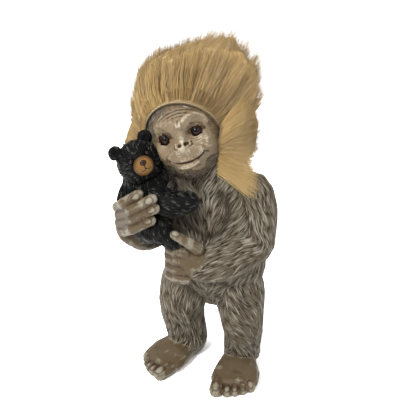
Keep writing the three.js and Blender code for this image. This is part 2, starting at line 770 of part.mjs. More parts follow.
piece("figure", "torso", "resin", trunk);
piece("figure", "left_leg", "resin", leftLeg, [trunk]);
piece("figure", "right_leg", "resin", rightLeg, [trunk, leftLeg]);
piece("figure", "left_foot", "skin", leftFoot, [leftLeg]);
piece("figure", "right_foot", "skin", rightFoot, [rightLeg]);
piece("figure", "left_upper_arm", "resin", leftArm, [trunk, head]);
piece("figure", "left_forearm", "resin", leftForearm, [trunk, leftArm]);
piece("figure", "left_hand", "skin", leftHand, [trunk, leftForearm]);
piece("figure", "right_upper_arm", "resin", rightArm, [trunk, head]);
piece("figure", "right_forearm", "resin", rightForearm, [trunk, rightArm]);
piece("figure", "right_hand", "skin", rightHand, [trunk, rightForearm]);

piece("figure_head", "head", "skin", carvedHead, [trunk, leftEye, rightEye]);
piece("figure_head", "left_eye", "eye", leftEye);
piece("figure_head", "right_eye", "eye", rightEye);

const handsAndArms = [rightHand, leftHand, rightForearm, rightArm, leftForearm];
piece("cub", "cub_body", "cub", cubBody, [trunk, head, cubHead, cubMuzzle, ...handsAndArms]);
const aroundCubArm = [trunk, head, cubHead, cubMuzzle, cubBody, rightHand];
piece("cub", "cub_left_arm", "cub", cubLeftArm, [...aroundCubArm, leftHand]);
piece("cub", "cub_right_arm", "cub", cubRightArm, [...aroundCubArm, rightArm]);
piece("cub", "cub_left_leg", "cub", cubLeftLeg, [trunk, cubBody, cubLeftArm, ...handsAndArms]);
piece("cub_face", "cub_head", "cub", cubHead, [head, cubMuzzle, cubLeftEye, cubRightEye, rightHand]);
piece("cub_face", "cub_muzzle", "muzzle", cubMuzzle, [cubNose]);
piece("cub_face", "cub_nose", "eye", cubNose);
piece("cub_face", "cub_left_eye", "eye", cubLeftEye);
piece("cub_face", "cub_right_eye", "eye", cubRightEye);

piece("wig", "wig_cap", "backing", cap, [trunk]);
piece("wig", "wig_braid", "braid", () => braid().subtract(passedHead(wigGap)), [trunk, cap]);
const cheekLock = () => tress().subtract(passedHead(wigGap));
piece("wig", "wig_tress", "fur", cheekLock, [trunk, leftArm, capSweep, braid]);
piece("wig", "wig_fur", "fur", pile, [trunk, leftArm, rightArm, passedCub, capSweep, braid, tress]);

// The origin is the middle of the footprint of the whole outline, on the floor
const figurine = groups.figurine.made;
const outline = new THREE.Box3().setFromObject(figurine, true);
const middle = outline.getCenter(new THREE.Vector3());
figurine.position.set(-middle.x, -middle.y, -outline.min.z);

export default figurine;
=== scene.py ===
"""A carved-resin bigfoot figurine that hugs a bear cub and wears a slip-on faux-fur wig."""

import logging
import math
from collections.abc import Sequence
from dataclasses import dataclass, field
from enum import Enum

import bmesh
import bpy
import numpy as np
from mathutils import Matrix, Vector, kdtree, noise


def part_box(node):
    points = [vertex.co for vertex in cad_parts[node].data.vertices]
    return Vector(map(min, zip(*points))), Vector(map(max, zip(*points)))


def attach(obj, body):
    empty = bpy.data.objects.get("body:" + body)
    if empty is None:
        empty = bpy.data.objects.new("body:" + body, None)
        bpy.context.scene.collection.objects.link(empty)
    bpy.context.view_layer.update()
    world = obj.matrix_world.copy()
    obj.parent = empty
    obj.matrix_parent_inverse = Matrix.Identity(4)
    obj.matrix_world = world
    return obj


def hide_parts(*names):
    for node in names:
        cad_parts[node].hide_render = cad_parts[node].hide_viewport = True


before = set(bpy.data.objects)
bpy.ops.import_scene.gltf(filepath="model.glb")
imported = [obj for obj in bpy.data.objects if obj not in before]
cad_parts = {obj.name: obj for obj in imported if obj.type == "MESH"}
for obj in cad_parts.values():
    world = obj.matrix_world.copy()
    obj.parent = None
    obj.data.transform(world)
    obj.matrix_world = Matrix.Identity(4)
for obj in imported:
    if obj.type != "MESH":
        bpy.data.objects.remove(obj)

Array = np.ndarray
Triple = tuple[float, float, float]
Colour = tuple[float, float, float, float]
MM = 0.001
log = logging.getLogger("figurine")


def paint(red: int, green: int, blue: int) -> Colour:
    """A colour as it looks on a screen.

    Args:
        red: Its red, 0 to 255.
        green: Its green, 0 to 255.
        blue: Its blue, 0 to 255.

    Returns:
        The linear colour that a shader takes.
    """
    shares = (value / 255 for value in (red, green, blue))
    linear = [s / 12.92 if s <= 0.04045 else ((s + 0.055) / 1.055) ** 2.4 for s in shares]
    return (*linear, 1.0)


def turned(centre: Sequence[float], nod: float, tilt: float, turn: float) -> Matrix:
    """A frame at a centre, leaned by a nod and a tilt and then turned about the upright, in degrees."""
    spin = Matrix.Rotation(math.radians(turn), 4, "Z") @ Matrix.Rotation(math.radians(nod), 4, "X")
    return Matrix.Translation(centre) @ spin @ Matrix.Rotation(math.radians(tilt), 4, "Y")


class Material(Enum):
    """The record's material slots, one handed to each piece along with its finish."""

    RESIN = "resin"
    SKIN = "skin"
    EYE = "eye"
    CUB = "cub"
    MUZZLE = "muzzle"
    BACKING = "backing"
    BRAID = "braid"
    FUR = "fur"


@dataclass(frozen=True)
class Layout:
    """Where the figure's parts stand in the frame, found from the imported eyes."""

    head_turn: Triple = (-14, -19, 20)
    cub_turn: Triple = (-13, -24, 42)
    wig_turn: float = 20
    eye_in_head: Triple = (14.8 * MM, -30 * MM, 1 * MM)
    head_at: Triple = (-22 * MM, -20 * MM, 258 * MM)
    cub_head_at: Triple = (-47.4 * MM, -64.5 * MM, 240.9 * MM)

    @property
    def shift(self) -> Vector:
        """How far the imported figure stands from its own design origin.

        Returns:
            The way from the design origin to the frame's, in metres.
        """
        low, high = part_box("left_eye")
        upright = turned(self.head_at, *self.head_turn)
        return (low + high) / 2 - upright @ Vector(self.eye_in_head)

    def designed(self, points: Array) -> Array:
        """Points about the figure's own design origin, in millimetres."""
        return (points - np.array(self.shift)) / MM

    @property
    def head(self) -> Matrix:
        """The head's frame: x to the figure's left, -y out of the face, z to the crown."""
        return Matrix.Translation(self.shift) @ turned(self.head_at, *self.head_turn)

    @property
    def cub_head(self) -> Matrix:
        """The cub's head frame."""
        return Matrix.Translation(self.shift) @ turned(self.cub_head_at, *self.cub_turn)

    @property
    def wig(self) -> Matrix:
        """The wig's frame, which turns with the head but stands upright."""
        return Matrix.Translation(self.shift) @ turned(self.head_at, 0, 0, self.wig_turn)


class Shader:
    """A material's node tree while it is put together."""

    def __init__(self, name: str) -> None:
        """Starts a material with one principled surface.

        Args:
            name: The material's name.
        """
        self.material = bpy.data.materials.new(name)
        self.material.use_nodes = True
        self.tree = self.material.node_tree
        self.surface = self.tree.nodes["Principled BSDF"]

    def node(
        self, kind: str, inputs: dict[str | int, object] | None = None, **settings: object,
    ) -> bpy.types.Node:
        """Adds a node.

        Args:
            kind: Blender's name of the node type.
            inputs: Values or output sockets for the node's inputs, by name or place.
            settings: Properties of the node itself.

        Returns:
            The node.
        """
        made = self.tree.nodes.new(kind)
        for key, value in settings.items():
            setattr(made, key, value)
        for key, value in (inputs or {}).items():
            self.feed(made.inputs[key], value)
        return made

    def feed(self, socket: bpy.types.NodeSocket, value: object) -> None:
        """Links a socket to another one, or gives it a plain value.

        Args:
            socket: The input socket.
            value: The output socket that feeds it, or its value.
        """
        if isinstance(value, bpy.types.NodeSocket):
            self.tree.links.new(value, socket)
        else:
            socket.default_value = value

    def place(self, stretch: Triple = (1, 1, 1)) -> bpy.types.NodeSocket:
        """Object coordinates, scaled by a stretch along each axis."""
        where = self.node("ShaderNodeTexCoord").outputs["Object"]
        return self.node("ShaderNodeMapping", {"Vector": where, "Scale": stretch}).outputs[0]

    def attribute(self, name: str) -> bpy.types.NodeSocket:
        """A number that the mesh carries at its points."""
        return self.node("ShaderNodeAttribute", attribute_name=name).outputs["Fac"]

    def noise(
        self, scale: float, detail: float = 3, rough: float = 0.5, stretch: Triple = (1, 1, 1),
    ) -> bpy.types.NodeSocket:
        """Noise from 0 to 1 over object coordinates, with features of about one over scale metres."""
        inputs = {"Vector": self.place(stretch), "Scale": scale, "Detail": detail, "Roughness": rough}
        return self.node("ShaderNodeTexNoise", inputs).outputs["Fac"]

    def ramp(
        self, factor: bpy.types.NodeSocket, stops: Sequence[tuple[float, Colour]],
    ) -> bpy.types.NodeSocket:
        """A colour picked along a row of stops.

        Args:
            factor: Where along the row the colour is picked, 0 to 1.
            stops: A place and a colour each.

        Returns:
            The socket that gives the colour.
        """
        made = self.node("ShaderNodeValToRGB", {"Fac": factor})
        elements = made.color_ramp.elements
        while len(elements) < len(stops):
            elements.new(0.5)
        for element, (position, colour) in zip(elements, stops):
            element.position = position
            element.color = colour
        return made.outputs["Color"]

    def mix(self, factor: object, first: object, second: object, blend: str = "MIX") -> bpy.types.NodeSocket:
        """Two colours mixed by a factor.

        Args:
            factor: The share of the second colour.
            first: The first colour, or its socket.
            second: The second colour, or its socket.
            blend: How the second is laid over the first.

        Returns:
            The socket that gives the mixed colour.
        """
        inputs = {0: factor, 6: first, 7: second}
        return self.node("ShaderNodeMix", inputs, data_type="RGBA", blend_type=blend).outputs[2]

    def sum(self, *terms: tuple[bpy.types.NodeSocket | float, float]) -> bpy.types.NodeSocket:
        """Adds up values, each times its own weight.

        Args:
            terms: A value or its socket, and its weight.

        Returns:
            The socket that gives the total.
        """
        total = None
        for value, weight in terms:
            part = self.node(
                "ShaderNodeMath", {0: value, 1: weight, 2: total or 0.0}, operation="MULTIPLY_ADD",
            )
            total = part.outputs[0]
        return total

    def dress(
        self, colour: object, rough: object, bump: tuple[bpy.types.NodeSocket, float] | None = None,
        **plain: float
    ) -> bpy.types.Material:
        """Sets the surface and returns the material.

        Args:
            colour: The base colour, or the socket that gives it.
            rough: The roughness, or the socket that gives it.
            bump: A height socket and how many metres it stands for.
            plain: Other inputs of the surface, with _ for a space, that are the same all over.

        Returns:
            The material.
        """
        for name, value in {"Base Color": colour, "Roughness": rough, **plain}.items():
            self.feed(self.surface.inputs[name.replace("_", " ")], value)
        if bump:
            height, depth = bump
            relief = self.node("ShaderNodeBump", {"Height": height, "Distance": depth, "Strength": 1.0})
            self.tree.links.new(relief.outputs[0], self.surface.inputs["Normal"])
        return self.material


@dataclass(frozen=True)
class CarvedCoat:
    """Dry-brushed resin: a dark wash in the grooves, a middle tone, and a pale brush over the ridges; the
    wash also stands for painted shade in creases and recesses.
    """

    name: str
    groove: Colour
    middle: Colour
    ridge: Colour
    tint: Colour
    rough: float = 0.55
    shine: float = 0.2
    speckle: float = 0.22
    speckle_scale: float = 900
    strand_share: float = 0.28
    blotch_scale: float = 60
    blotch_share: float = 0.3
    base: float = 0.15
    grain_scale: float = 2200
    grain_depth: float = 0.12 * MM

    def material(self) -> bpy.types.Material:
        """Builds the finish from the mesh's carve, tone and hollow attributes.

        Returns:
            The material.
        """
        s = Shader(self.name)
        carve, tone, hollow = (s.attribute(name) for name in ("carve", "tone", "hollow"))
        brush = s.noise(self.speckle_scale, 4, 0.6)
        blotch = s.noise(self.blotch_scale, 3, 0.5)
        level = s.sum(
            (carve, 1.0), (tone, self.strand_share), (brush, self.speckle), (blotch, self.blotch_share),
            (1.0, -self.base - self.speckle / 2),
        )
        stops = [(0.05, self.groove), (0.42, self.middle), (0.72, self.middle), (1.0, self.ridge)]
        colour = s.ramp(level, stops)
        tinted = s.mix(
            s.ramp(blotch, [(0.4, (0, 0, 0, 1)), (0.75, (0.5, 0.5, 0.5, 1))]), colour, self.tint, "MULTIPLY",
        )
        # Dark wash and painted shade: the hollow attribute pulls the colour towards the groove colour in
        # creases, recesses and between parts.
        washed_and_shaded = s.mix(s.sum((hollow, 1.0)), tinted, self.groove)
        grain = (s.noise(self.grain_scale, 3, 0.6), self.grain_depth)
        return s.dress(washed_and_shaded, self.rough, grain, Specular_IOR_Level=self.shine)


@dataclass(frozen=True)
class Gloss:
    """A wet-looking painted bead with a ring of another colour around its middle."""

    name: str
    middle: Colour
    rim: Colour
    rough: float = 0.06
    shine: float = 0.15

    def material(self) -> bpy.types.Material:
        """Builds the finish from the mesh's own iris attribute.

        Returns:
            The material.
        """
        s = Shader(self.name)
        stops = [
            (0.0, paint(4, 3, 3)), (0.2, paint(6, 4, 4)), (0.3, self.middle), (0.5, self.rim),
            (0.7, self.middle),
        ]
        colour = s.ramp(s.sum((s.attribute("iris"), 1.0), (s.noise(1500, 2, 0.6), 0.04)), stops)
        return s.dress(colour, self.rough, Specular_IOR_Level=self.shine)


@dataclass(frozen=True)
class Pile:
    """Long acrylic pile: darker at the root, partly its own colour and partly painted shade deep in the pile,
    lighter at the tip, each strand a little different.
    """

    name: str = "golden_pile"
    root: Colour = paint(146, 116, 68)
    body: Colour = paint(190, 160, 106)
    tip: Colour = paint(216, 190, 138)

    def material(self) -> bpy.types.Material:
        """Builds the finish from the along and tone attributes of the strands.

        Returns:
            The material.
        """
        s = Shader(self.name)
        level = s.sum(
            (s.attribute("along"), 0.55), (s.attribute("tone"), 0.17), (s.noise(45, 2, 0.5), 0.35),
            (1.0, -0.05),
        )
        # Darker towards the root: painted shade deep in the pile over the pile's own colour.
        colour = s.ramp(level, [(0.05, self.root), (0.5, self.body), (1.0, self.tip)])
        return s.dress(colour, 0.62, Specular_IOR_Level=0.25, Sheen_Weight=0.25, Sheen_Roughness=0.4)


@dataclass(frozen=True)
class Yarn:
    """Twisted yarn: cream threads with brown flecks, and darker where they turn under at the plait's edges,
    which is painted shade.
    """

    name: str = "plaited_yarn"
    light: Colour = paint(214, 196, 150)
    dark: Colour = paint(84, 62, 34)

    def material(self) -> bpy.types.Material:
        """Builds fine turns along the yarn from its along attribute.

        Returns:
            The material.
        """
        s = Shader(self.name)
        turn = s.node(
            "ShaderNodeMath", {0: s.attribute("along"), 1: 2 * math.pi}, operation="MULTIPLY",
        ).outputs[0]
        wave = s.node("ShaderNodeMath", {0: turn}, operation="SINE").outputs[0]
        # The tone darkens the threads where they turn under: painted shade.
        level = s.sum((wave, 0.12), (s.noise(700, 3, 0.6), 0.8), (s.attribute("tone"), 0.36), (1.0, 0.1))
        colour = s.ramp(level, [(0.3, self.dark), (0.62, self.light)])
        return s.dress(colour, 0.8, (level, 0.15 * MM), Sheen_Weight=0.2)


@dataclass(frozen=True)
class Cloth:
    """A knitted or twisted thread surface."""

    name: str
    light: Colour
    dark: Colour
    scale: float = 1400

    def material(self) -> bpy.types.Material:
        """Builds fine crossing threads with a soft nap.

        Returns:
            The material.
        """
        s = Shader(self.name)
        wave = s.node(
            "ShaderNodeTexWave",
            {"Vector": s.place(), "Scale": self.scale / 6, "Distortion": 2.0, "Detail": 2.0},
        )
        level = s.sum((wave.outputs["Fac"], 0.6), (s.noise(self.scale, 3, 0.6), 0.5))
        colour = s.ramp(level, [(0.15, self.dark), (0.8, self.light)])
        return s.dress(colour, 0.85, (level, 0.15 * MM), Sheen_Weight=0.3)


def rows(items: bpy.types.bpy_prop_collection, name: str, width: int, kind: type = float) -> Array:
    """Reads a property of a mesh's points, edges or triangles.

    Args:
        items: The points, edges or triangles.
        name: The property's name.
        width: How many numbers it has.
        kind: What kind of number it holds.

    Returns:
        A row of numbers for each item.
    """
    out = np.empty(len(items) * width, kind)
    items.foreach_get(name, out)
    return out.reshape(-1, width)


def unit(ways: Array) -> Array:
    """Directions brought to length 1."""
    return ways / np.linalg.norm(ways, axis=-1, keepdims=True)


def local(points: Array, placed: Matrix) -> Array:
    """Points as they lie in a placed frame, in millimetres."""
    at = np.array(placed)
    return (points - at[:3, 3]) @ at[:3, :3] / MM


def search_tree(points: Array) -> kdtree.KDTree:
    """Makes a search tree of points.

    Args:
        points: The points.

    Returns:
        The tree, ready for use.
    """
    tree = kdtree.KDTree(len(points))
    for number, point in enumerate(points):
        tree.insert(point, number)
    tree.balance()
    return tree


class Surface:
    """A fine closed mesh held as arrays, so that it can be carved and painted point by point."""

    def __init__(self, piece: bpy.types.Object) -> None:
        """Reads the points and edges of a piece.

        Args:
            piece: The piece that is worked on.
        """
        self.piece = piece
        mesh = piece.data
        self.co = rows(mesh.vertices, "co", 3)
        self.edges = rows(mesh.edges, "vertices", 2, np.int64)
        self.valence = np.bincount(self.edges.ravel(), minlength=len(self.co)).astype(float)

    def neighbours(self, values: Array) -> Array:
        """The mean of a value over each point's neighbours.

        Args:
            values: A number or a row of numbers for each point.

        Returns:
            The means, in the same form.
        """
        flat = values.reshape(len(self.co), -1)
        total = np.empty_like(flat, float)
        first, second = self.edges.T
        for column in range(flat.shape[1]):
            v = flat[:, column]
            total[:, column] = np.bincount(first, v[second], len(v)) + np.bincount(second, v[first], len(v))
        return (total / self.valence[:, None]).reshape(values.shape)

    def averaged(self, values: Array, rounds: int) -> Array:
        """A value spread over the surface by some rounds of averaging.

        Args:
            values: A number or a row of numbers for each point.
            rounds: How many rounds it takes.

        Returns:
            The spread values, in the same form.
        """
        for _ in range(rounds):
            values = 0.4 * values + 0.6 * self.neighbours(values)
        return values

    def smooth(self, rounds: int) -> None:
        """Evens out the surface without shrinking it.

        Args:
            rounds: How many rounds it takes.
        """
        for _ in range(rounds):
            for share in (0.55, -0.58):
                self.co += share * (self.neighbours(self.co) - self.co)

    def save(self) -> None:
        """Writes the points back to the mesh."""
        self.piece.data.vertices.foreach_set("co", self.co.ravel())
        self.piece.data.update()

    def normals(self) -> Array:
        """The outward direction at every point."""
        self.save()
        return rows(self.piece.data.vertices, "normal", 3)

    def push(self, height: Array) -> None:
        """Moves every point outwards by its height in millimetres."""
        self.co += self.normals() * (height * MM)[:, None]
        self.save()

    def hollows(self, rounds: int, depth: float) -> Array:
        """How deep each point lies under the smoothed surface.

        Args:
            rounds: How far the surface is smoothed for comparison.
            depth: The depth in metres that counts as 1.

        Returns:
            A number for each point, below 0 where it stands out.
        """
        away = self.averaged(self.co, rounds) - self.co
        sunk = np.einsum("ij,ij->i", away, self.normals())
        return np.clip(sunk / depth, -1, 1)

    def write(self, **numbers: Array) -> None:
        """Stores numbers at every point, by attribute name."""
        for name, values in numbers.items():
            store(self.piece.data, name, values)


def store(mesh: bpy.types.Mesh, name: str, values: Sequence[float]) -> None:
    """Stores a number at every point of a mesh."""
    layer = mesh.attributes.new(name, "FLOAT", "POINT")
    layer.data.foreach_set("value", np.asarray(values, np.float32))


def clump(mesh: bmesh.types.BMesh, node: str, grow: float) -> None:
    """Adds a CAD node's shape to a mesh under construction.

    Args:
        mesh: The mesh under construction.
        node: The CAD node's name.
        grow: How far it grows outwards, so that it meets its neighbours.
    """
    shape = bmesh.new()
    shape.from_mesh(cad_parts[node].data)
    bmesh.ops.remove_doubles(shape, verts=shape.verts, dist=0.01 * MM)
    bmesh.ops.recalc_face_normals(shape, faces=shape.faces)
    for vertex in shape.verts:
        vertex.co += vertex.normal * grow
    held = bpy.data.meshes.new("held")
    shape.to_mesh(held)
    mesh.from_mesh(held)
    bpy.data.meshes.remove(held)
    shape.free()


def shown(data: bpy.types.ID, name: str) -> bpy.types.Object:
    """Puts a mesh, a curve, a lamp or a camera in the scene at the origin.

    Args:
        data: The mesh, curve, lamp or camera.
        name: The object's name.

    Returns:
        The object.
    """
    made = bpy.data.objects.new(name, data)
    bpy.context.scene.collection.objects.link(made)
    return made


def object_from(mesh: bmesh.types.BMesh, name: str) -> bpy.types.Object:
    """Puts a mesh in the scene as a smooth-shaded piece at the origin.

    Args:
        mesh: The mesh, which is used up.
        name: The piece's name.

    Returns:
        The piece.
    """
    data = bpy.data.meshes.new(name)
    mesh.to_mesh(data)
    mesh.free()
    data.polygons.foreach_set("use_smooth", [True] * len(data.polygons))
    return shown(data, name)


def worked(piece: bpy.types.Object) -> bpy.types.Mesh:
    """The mesh that a piece has once its modifiers or its bevel have worked on it."""
    return bpy.data.meshes.new_from_object(piece.evaluated_get(bpy.context.evaluated_depsgraph_get()))


def cut_away(
    mesh: bmesh.types.BMesh, point: Sequence[float], ahead: Sequence[float],
) -> list[bmesh.types.BMEdge]:
    """Cuts away what lies ahead of a plane.

    Args:
        mesh: The mesh that is cut.
        point: A point of the plane.
        ahead: The direction that the plane faces.

    Returns:
        The edges along the cut.
    """
    cut = bmesh.ops.bisect_plane(
        mesh, geom=[*mesh.verts, *mesh.edges, *mesh.faces], dist=1e-7, plane_co=point, plane_no=ahead,
        clear_outer=True,
    )
    return [part for part in cut["geom_cut"] if isinstance(part, bmesh.types.BMEdge)]


def cast(name: str, nodes: Sequence[str], voxel: float, grow: float, rounds: int) -> Surface:
    """Casts CAD nodes as one fine closed skin.

    Args:
        name: The new piece's name.
        nodes: The CAD nodes that it joins.
        voxel: The size of its faces.
        grow: How far each node grows first, so that the gaps between them close.
        rounds: How many rounds of smoothing take off the facets.

    Returns:
        The skin, ready for carving.
    """
    mesh = bmesh.new()
    for node in nodes:
        clump(mesh, node, grow)
    piece = object_from(mesh, name)
    remesh = piece.modifiers.new("one_skin", "REMESH")
    remesh.mode = "VOXEL"
    remesh.voxel_size = voxel
    remesh.use_smooth_shade = True
    joined = worked(piece)
    piece.modifiers.clear()
    piece.data = joined
    surface = Surface(piece)
    surface.smooth(rounds)
    surface.save()
    return surface


def finish(
    piece: bpy.types.Object, material: bpy.types.Material, slot: Material, body: str, *nodes: str,
) -> None:
    """Dresses a piece and tells the frame what it stands for.

    Args:
        piece: The piece.
        material: Its material.
        slot: The record's slot that the material stands for; not used.
        body: The body that carries it.
        nodes: The CAD nodes that it stands for.
    """
    piece.data.materials.clear()
    piece.data.materials.append(material)
    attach(piece, body)
    if nodes:
        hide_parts(*nodes)
    log.info("%s: %d faces", piece.name, len(piece.data.polygons))


def wander(points: Array, size: float, seed: float) -> Array:
    """Smooth noise from about -1 to 1 over space, with swells of a given size."""
    offset = Vector((seed * 7.3, seed * 3.1, seed * 5.7))
    return np.array([noise.noise(Vector(p) / size + offset) for p in points])


def nearest(targets: Array, points: Array) -> Array:
    """The number of the target that lies nearest to each point.

    Args:
        targets: The places to choose from.
        points: The points.

    Returns:
        The number of the chosen target for each point.
    """
    tree = search_tree(targets)
    return np.array([tree.find(point)[1] for point in points])


def tubes(name: str, paths: Array, radii: Array, sides: int, values: dict[str, Array]) -> bpy.types.Object:
    """Many thin tubes in one mesh.

    Args:
        name: The piece's name.
        paths: The points of each tube.
        radii: Its radius at each point.
        sides: How many sides it has.
        values: Numbers to store at each point, by attribute name.

    Returns:
        The piece.
    """
    section = bpy.data.curves.new("section", "CURVE")
    ring = section.splines.new("POLY")
    ring.points.add(sides - 1)
    ring.use_cyclic_u = True
    for number, point in enumerate(ring.points):
        angle = 2 * math.pi * number / sides
        point.co = (math.cos(angle), math.sin(angle), 0, 1)
    shape = bpy.data.objects.new("section", section)
    bundle = bpy.data.curves.new(name, "CURVE")
    bundle.dimensions = "3D"
    bundle.bevel_mode = "OBJECT"
    bundle.bevel_object = shape
    bundle.use_fill_caps = True
    count, knots, _ = paths.shape
    four = np.concatenate((paths, np.ones((count, knots, 1))), 2)
    for path, radius in zip(four, radii):
        line = bundle.splines.new("POLY")
        line.points.add(knots - 1)
        line.points.foreach_set("co", path.ravel())
        line.points.foreach_set("radius", radius)
    holder = shown(bundle, name)
    mesh = worked(holder)
    bpy.data.objects.remove(holder)
    bpy.data.objects.remove(shape)
    piece = shown(mesh, name)
    for label, numbers in values.items():
        # The points of the caps come before all others: the last tube first, its tip before its root.
        caps = numbers[::-1][:, [-1, 0]]
        store(mesh, label, np.repeat(np.concatenate((caps.ravel(), numbers.ravel())), sides))
    mesh.polygons.foreach_set("use_smooth", [True] * len(mesh.polygons))
    weld = piece.modifiers.new("closed_ends", "WELD")
    weld.merge_threshold = 1e-6
    welded = worked(piece)
    piece.modifiers.clear()
    piece.data = welded
    return piece


Line = tuple[tuple[float, float], ...]


@dataclass(frozen=True)
class Stroke:
    """A line drawn on a surface in millimetres, with its width, its height and how pale it is."""

    line: Line
    width: float
    push: float
    pale: float = 0.0
    taper: bool = False

    def strength(self, across: Array, up: Array) -> Array:
        """How much of the stroke each point takes.

        Args:
            across: How far across each point lies.
            up: How far up each point lies.

        Returns:
            A share for each point, 0 to 1.
        """
        ends = np.array(self.line, float)
        best = np.full(len(across), 1e9)
        where = np.zeros(len(across))
        count = len(ends) - 1
        for number, (a, b) in enumerate(zip(ends[:-1], ends[1:])):
            way = b - a
            t = np.clip(((across - a[0]) * way[0] + (up - a[1]) * way[1]) / (way @ way), 0, 1)
            away = np.hypot(across - a[0] - t * way[0], up - a[1] - t * way[1])
            closer = away < best
            best[closer] = away[closer]
            where[closer] = (number + t[closer]) / count
        fade = np.sin(np.pi * np.clip(where, 0.02, 0.98)) ** 0.5 if self.taper else 1.0
        return np.exp(-((best / self.width) ** 2)) * fade


def eased(line: Line, steps: int = 5) -> Line:
    """A smooth line through the given points.

    Args:
        line: The points.
        steps: How many steps it takes from each point to the next.

    Returns:
        The smooth line.
    """
    points = np.array(line, float)
    padded = np.vstack((2 * points[0] - points[1], points, 2 * points[-1] - points[-2]))
    out = []
    for p0, p1, p2, p3 in zip(padded[:-3], padded[1:-2], padded[2:-1], padded[3:]):
        for t in np.arange(steps) / steps:
            bend, twist = 2 * p0 - 5 * p1 + 4 * p2 - p3, 3 * p1 - p0 - 3 * p2 + p3
            out.append(0.5 * (2 * p1 + (p2 - p0) * t + bend * t**2 + twist * t**3))
    return tuple(map(tuple, [*out, points[-1]]))


@dataclass
class Locks:
    """Raised strands of carved hair, laid side by side along the flow of a skin."""

    name: str
    length: float = 16 * MM
    radius: float = 0.84 * MM
    spacing: float = 1.22 * MM
    lift: float = 0.22 * MM
    knots: int = 7
    sides: int = 4
    seed: int = 1
    most: int = 4400
    lengths: tuple[float, float] = (0.6, 1.3)
    widths: tuple[float, float] = (0.75, 1.2)
    thinnest: float = 0.07 * MM
    groove: float = 0.34
    crest: float = 0.5
    crests: tuple[float, float] = (0.75, 1.15)
    tones: float = 0.38

    def walk(self, skin: Surface, flow: Array, share: Array) -> tuple[Array, Array]:
        """Fills the skin with strands that keep clear of each other.

        Args:
            skin: The surface that they lie on.
            flow: The direction of the hair at every point.
            share: Where there is hair, 0 to 1.

        Returns:
            The points of each strand, and the number of the skin's point under each.
        """
        rng = np.random.default_rng(self.seed)
        tree = search_tree(skin.co)
        points, ways, normals = ([Vector(v) for v in values] for values in (skin.co, flow, skin.normals()))
        taken = share < 0.5
        paths, under = [], []
        for start in rng.permutation(len(points)):
            if taken[start]:
                continue
            step = self.length * rng.uniform(*self.lengths) / (2 * self.knots - 2)
            at, index = points[start].copy(), int(start)
            path, below = [], []
            for number in range(2 * self.knots - 1):
                for _, near, _ in tree.find_range(at, self.spacing):
                    taken[near] = True
                if number % 2 == 0:
                    path.append(at + normals[index] * self.lift)
                    below.append(index)
                at = at + ways[index] * step
                spot, index, _ = tree.find(at)
                at = at - normals[index] * (at - spot).dot(normals[index])
            paths.append(path)
            under.append(below)
        return np.array(paths), np.array(under)

    def lay(
        self, skin: Surface, flow: Array, share: Array, hollow: Array, pale: Array,
        finishing: bpy.types.Material, slot: Material, body: str,
    ) -> None:
        """Lays the strands as finished pieces.

        Args:
            skin: The surface that they lie on.
            flow: The direction of the hair at every point.
            share: Where there is hair, 0 to 1.
            hollow: How much of the dark wash and painted shade each point keeps, 0 to 1.
            pale: How much more of the pale brush each point takes, with painted highlight where the caller
                adds it.
            finishing: Their material.
            slot: The record's slot that it stands for.
            body: The body that they ride on.
        """
        paths, under = self.walk(skin, flow, share)
        rng = np.random.default_rng(self.seed + 50)
        count = len(paths)
        t = np.tile(np.linspace(0, 1, self.knots), (count, 1))
        wide = self.radius * rng.uniform(*self.widths, (count, 1))
        radii = np.maximum(wide * np.sin(math.pi * (0.14 + 0.86 * t)) ** 0.42, self.thinnest)
        crest = self.crest * np.sin(math.pi * (0.06 + 0.88 * t)) * rng.uniform(*self.crests, (count, 1))
        values = {
            "carve": self.groove + crest + pale[under],
            "tone": np.tile(np.clip(rng.normal(0, self.tones, (count, 1)), -0.9, 0.9), (1, self.knots)),
            # Dark wash and painted shade of the skin under each strand.
            "hollow": hollow[under],
            "along": 0.3 + 0.7 * t,
        }
        order = np.argsort(paths[:, 0, 2], kind="stable")
        for number, part in enumerate(np.array_split(order, math.ceil(count / self.most))):
            piece = tubes(
                f"{self.name}_{number + 1}", paths[part], radii[part], self.sides,
                {key: value[part] for key, value in values.items()},
            )
            finish(piece, finishing, slot, body)


def laid(skin: Surface, way: Array, sway: float, rounds: int) -> Array:
    """Directions smoothed over a skin, laid flat on it and made to wander a little.

    Args:
        skin: The surface.
        way: A rough direction for each point.
        sway: How far the directions wander, in radians.
        rounds: How far they are smoothed.

    Returns:
        A direction of length 1 for each point.
    """
    way = skin.averaged(way, rounds)
    normal = skin.normals()
    way -= normal * np.einsum("ij,ij->i", way, normal)[:, None]
    way /= np.maximum(np.linalg.norm(way, axis=1), 1e-9)[:, None]
    turn = sway * (wander(skin.co, 14 * MM, 1) + 0.6 * wander(skin.co, 6 * MM, 2))
    return way * np.cos(turn)[:, None] + np.cross(normal, way) * np.sin(turn)[:, None]


def sliced(piece: bpy.types.Object, name: str, planes: Sequence[tuple[Vector, Vector]]) -> bpy.types.Object:
    """A closed part of a piece.

    Args:
        piece: The piece to take it from.
        name: The part's name.
        planes: A point and a direction each; what lies ahead of a plane is cut away.

    Returns:
        The part as its own piece.
    """
    mesh = bmesh.new()
    mesh.from_mesh(piece.data)
    for point, ahead in planes:
        rim = cut_away(mesh, point, ahead)
        for edge in rim:
            edge.smooth = False
        caps = bmesh.ops.holes_fill(mesh, edges=rim, sides=0)["faces"]
        bmesh.ops.triangulate(mesh, faces=caps)
    return object_from(mesh, name)


def bearing(azimuth: float, elevation: float) -> Vector:
    """The direction out to a place, by its degrees from the front and its degrees above level."""
    az, el = math.radians(azimuth), math.radians(elevation)
    return Vector((math.sin(az) * math.cos(el), -math.cos(az) * math.cos(el), math.sin(el)))


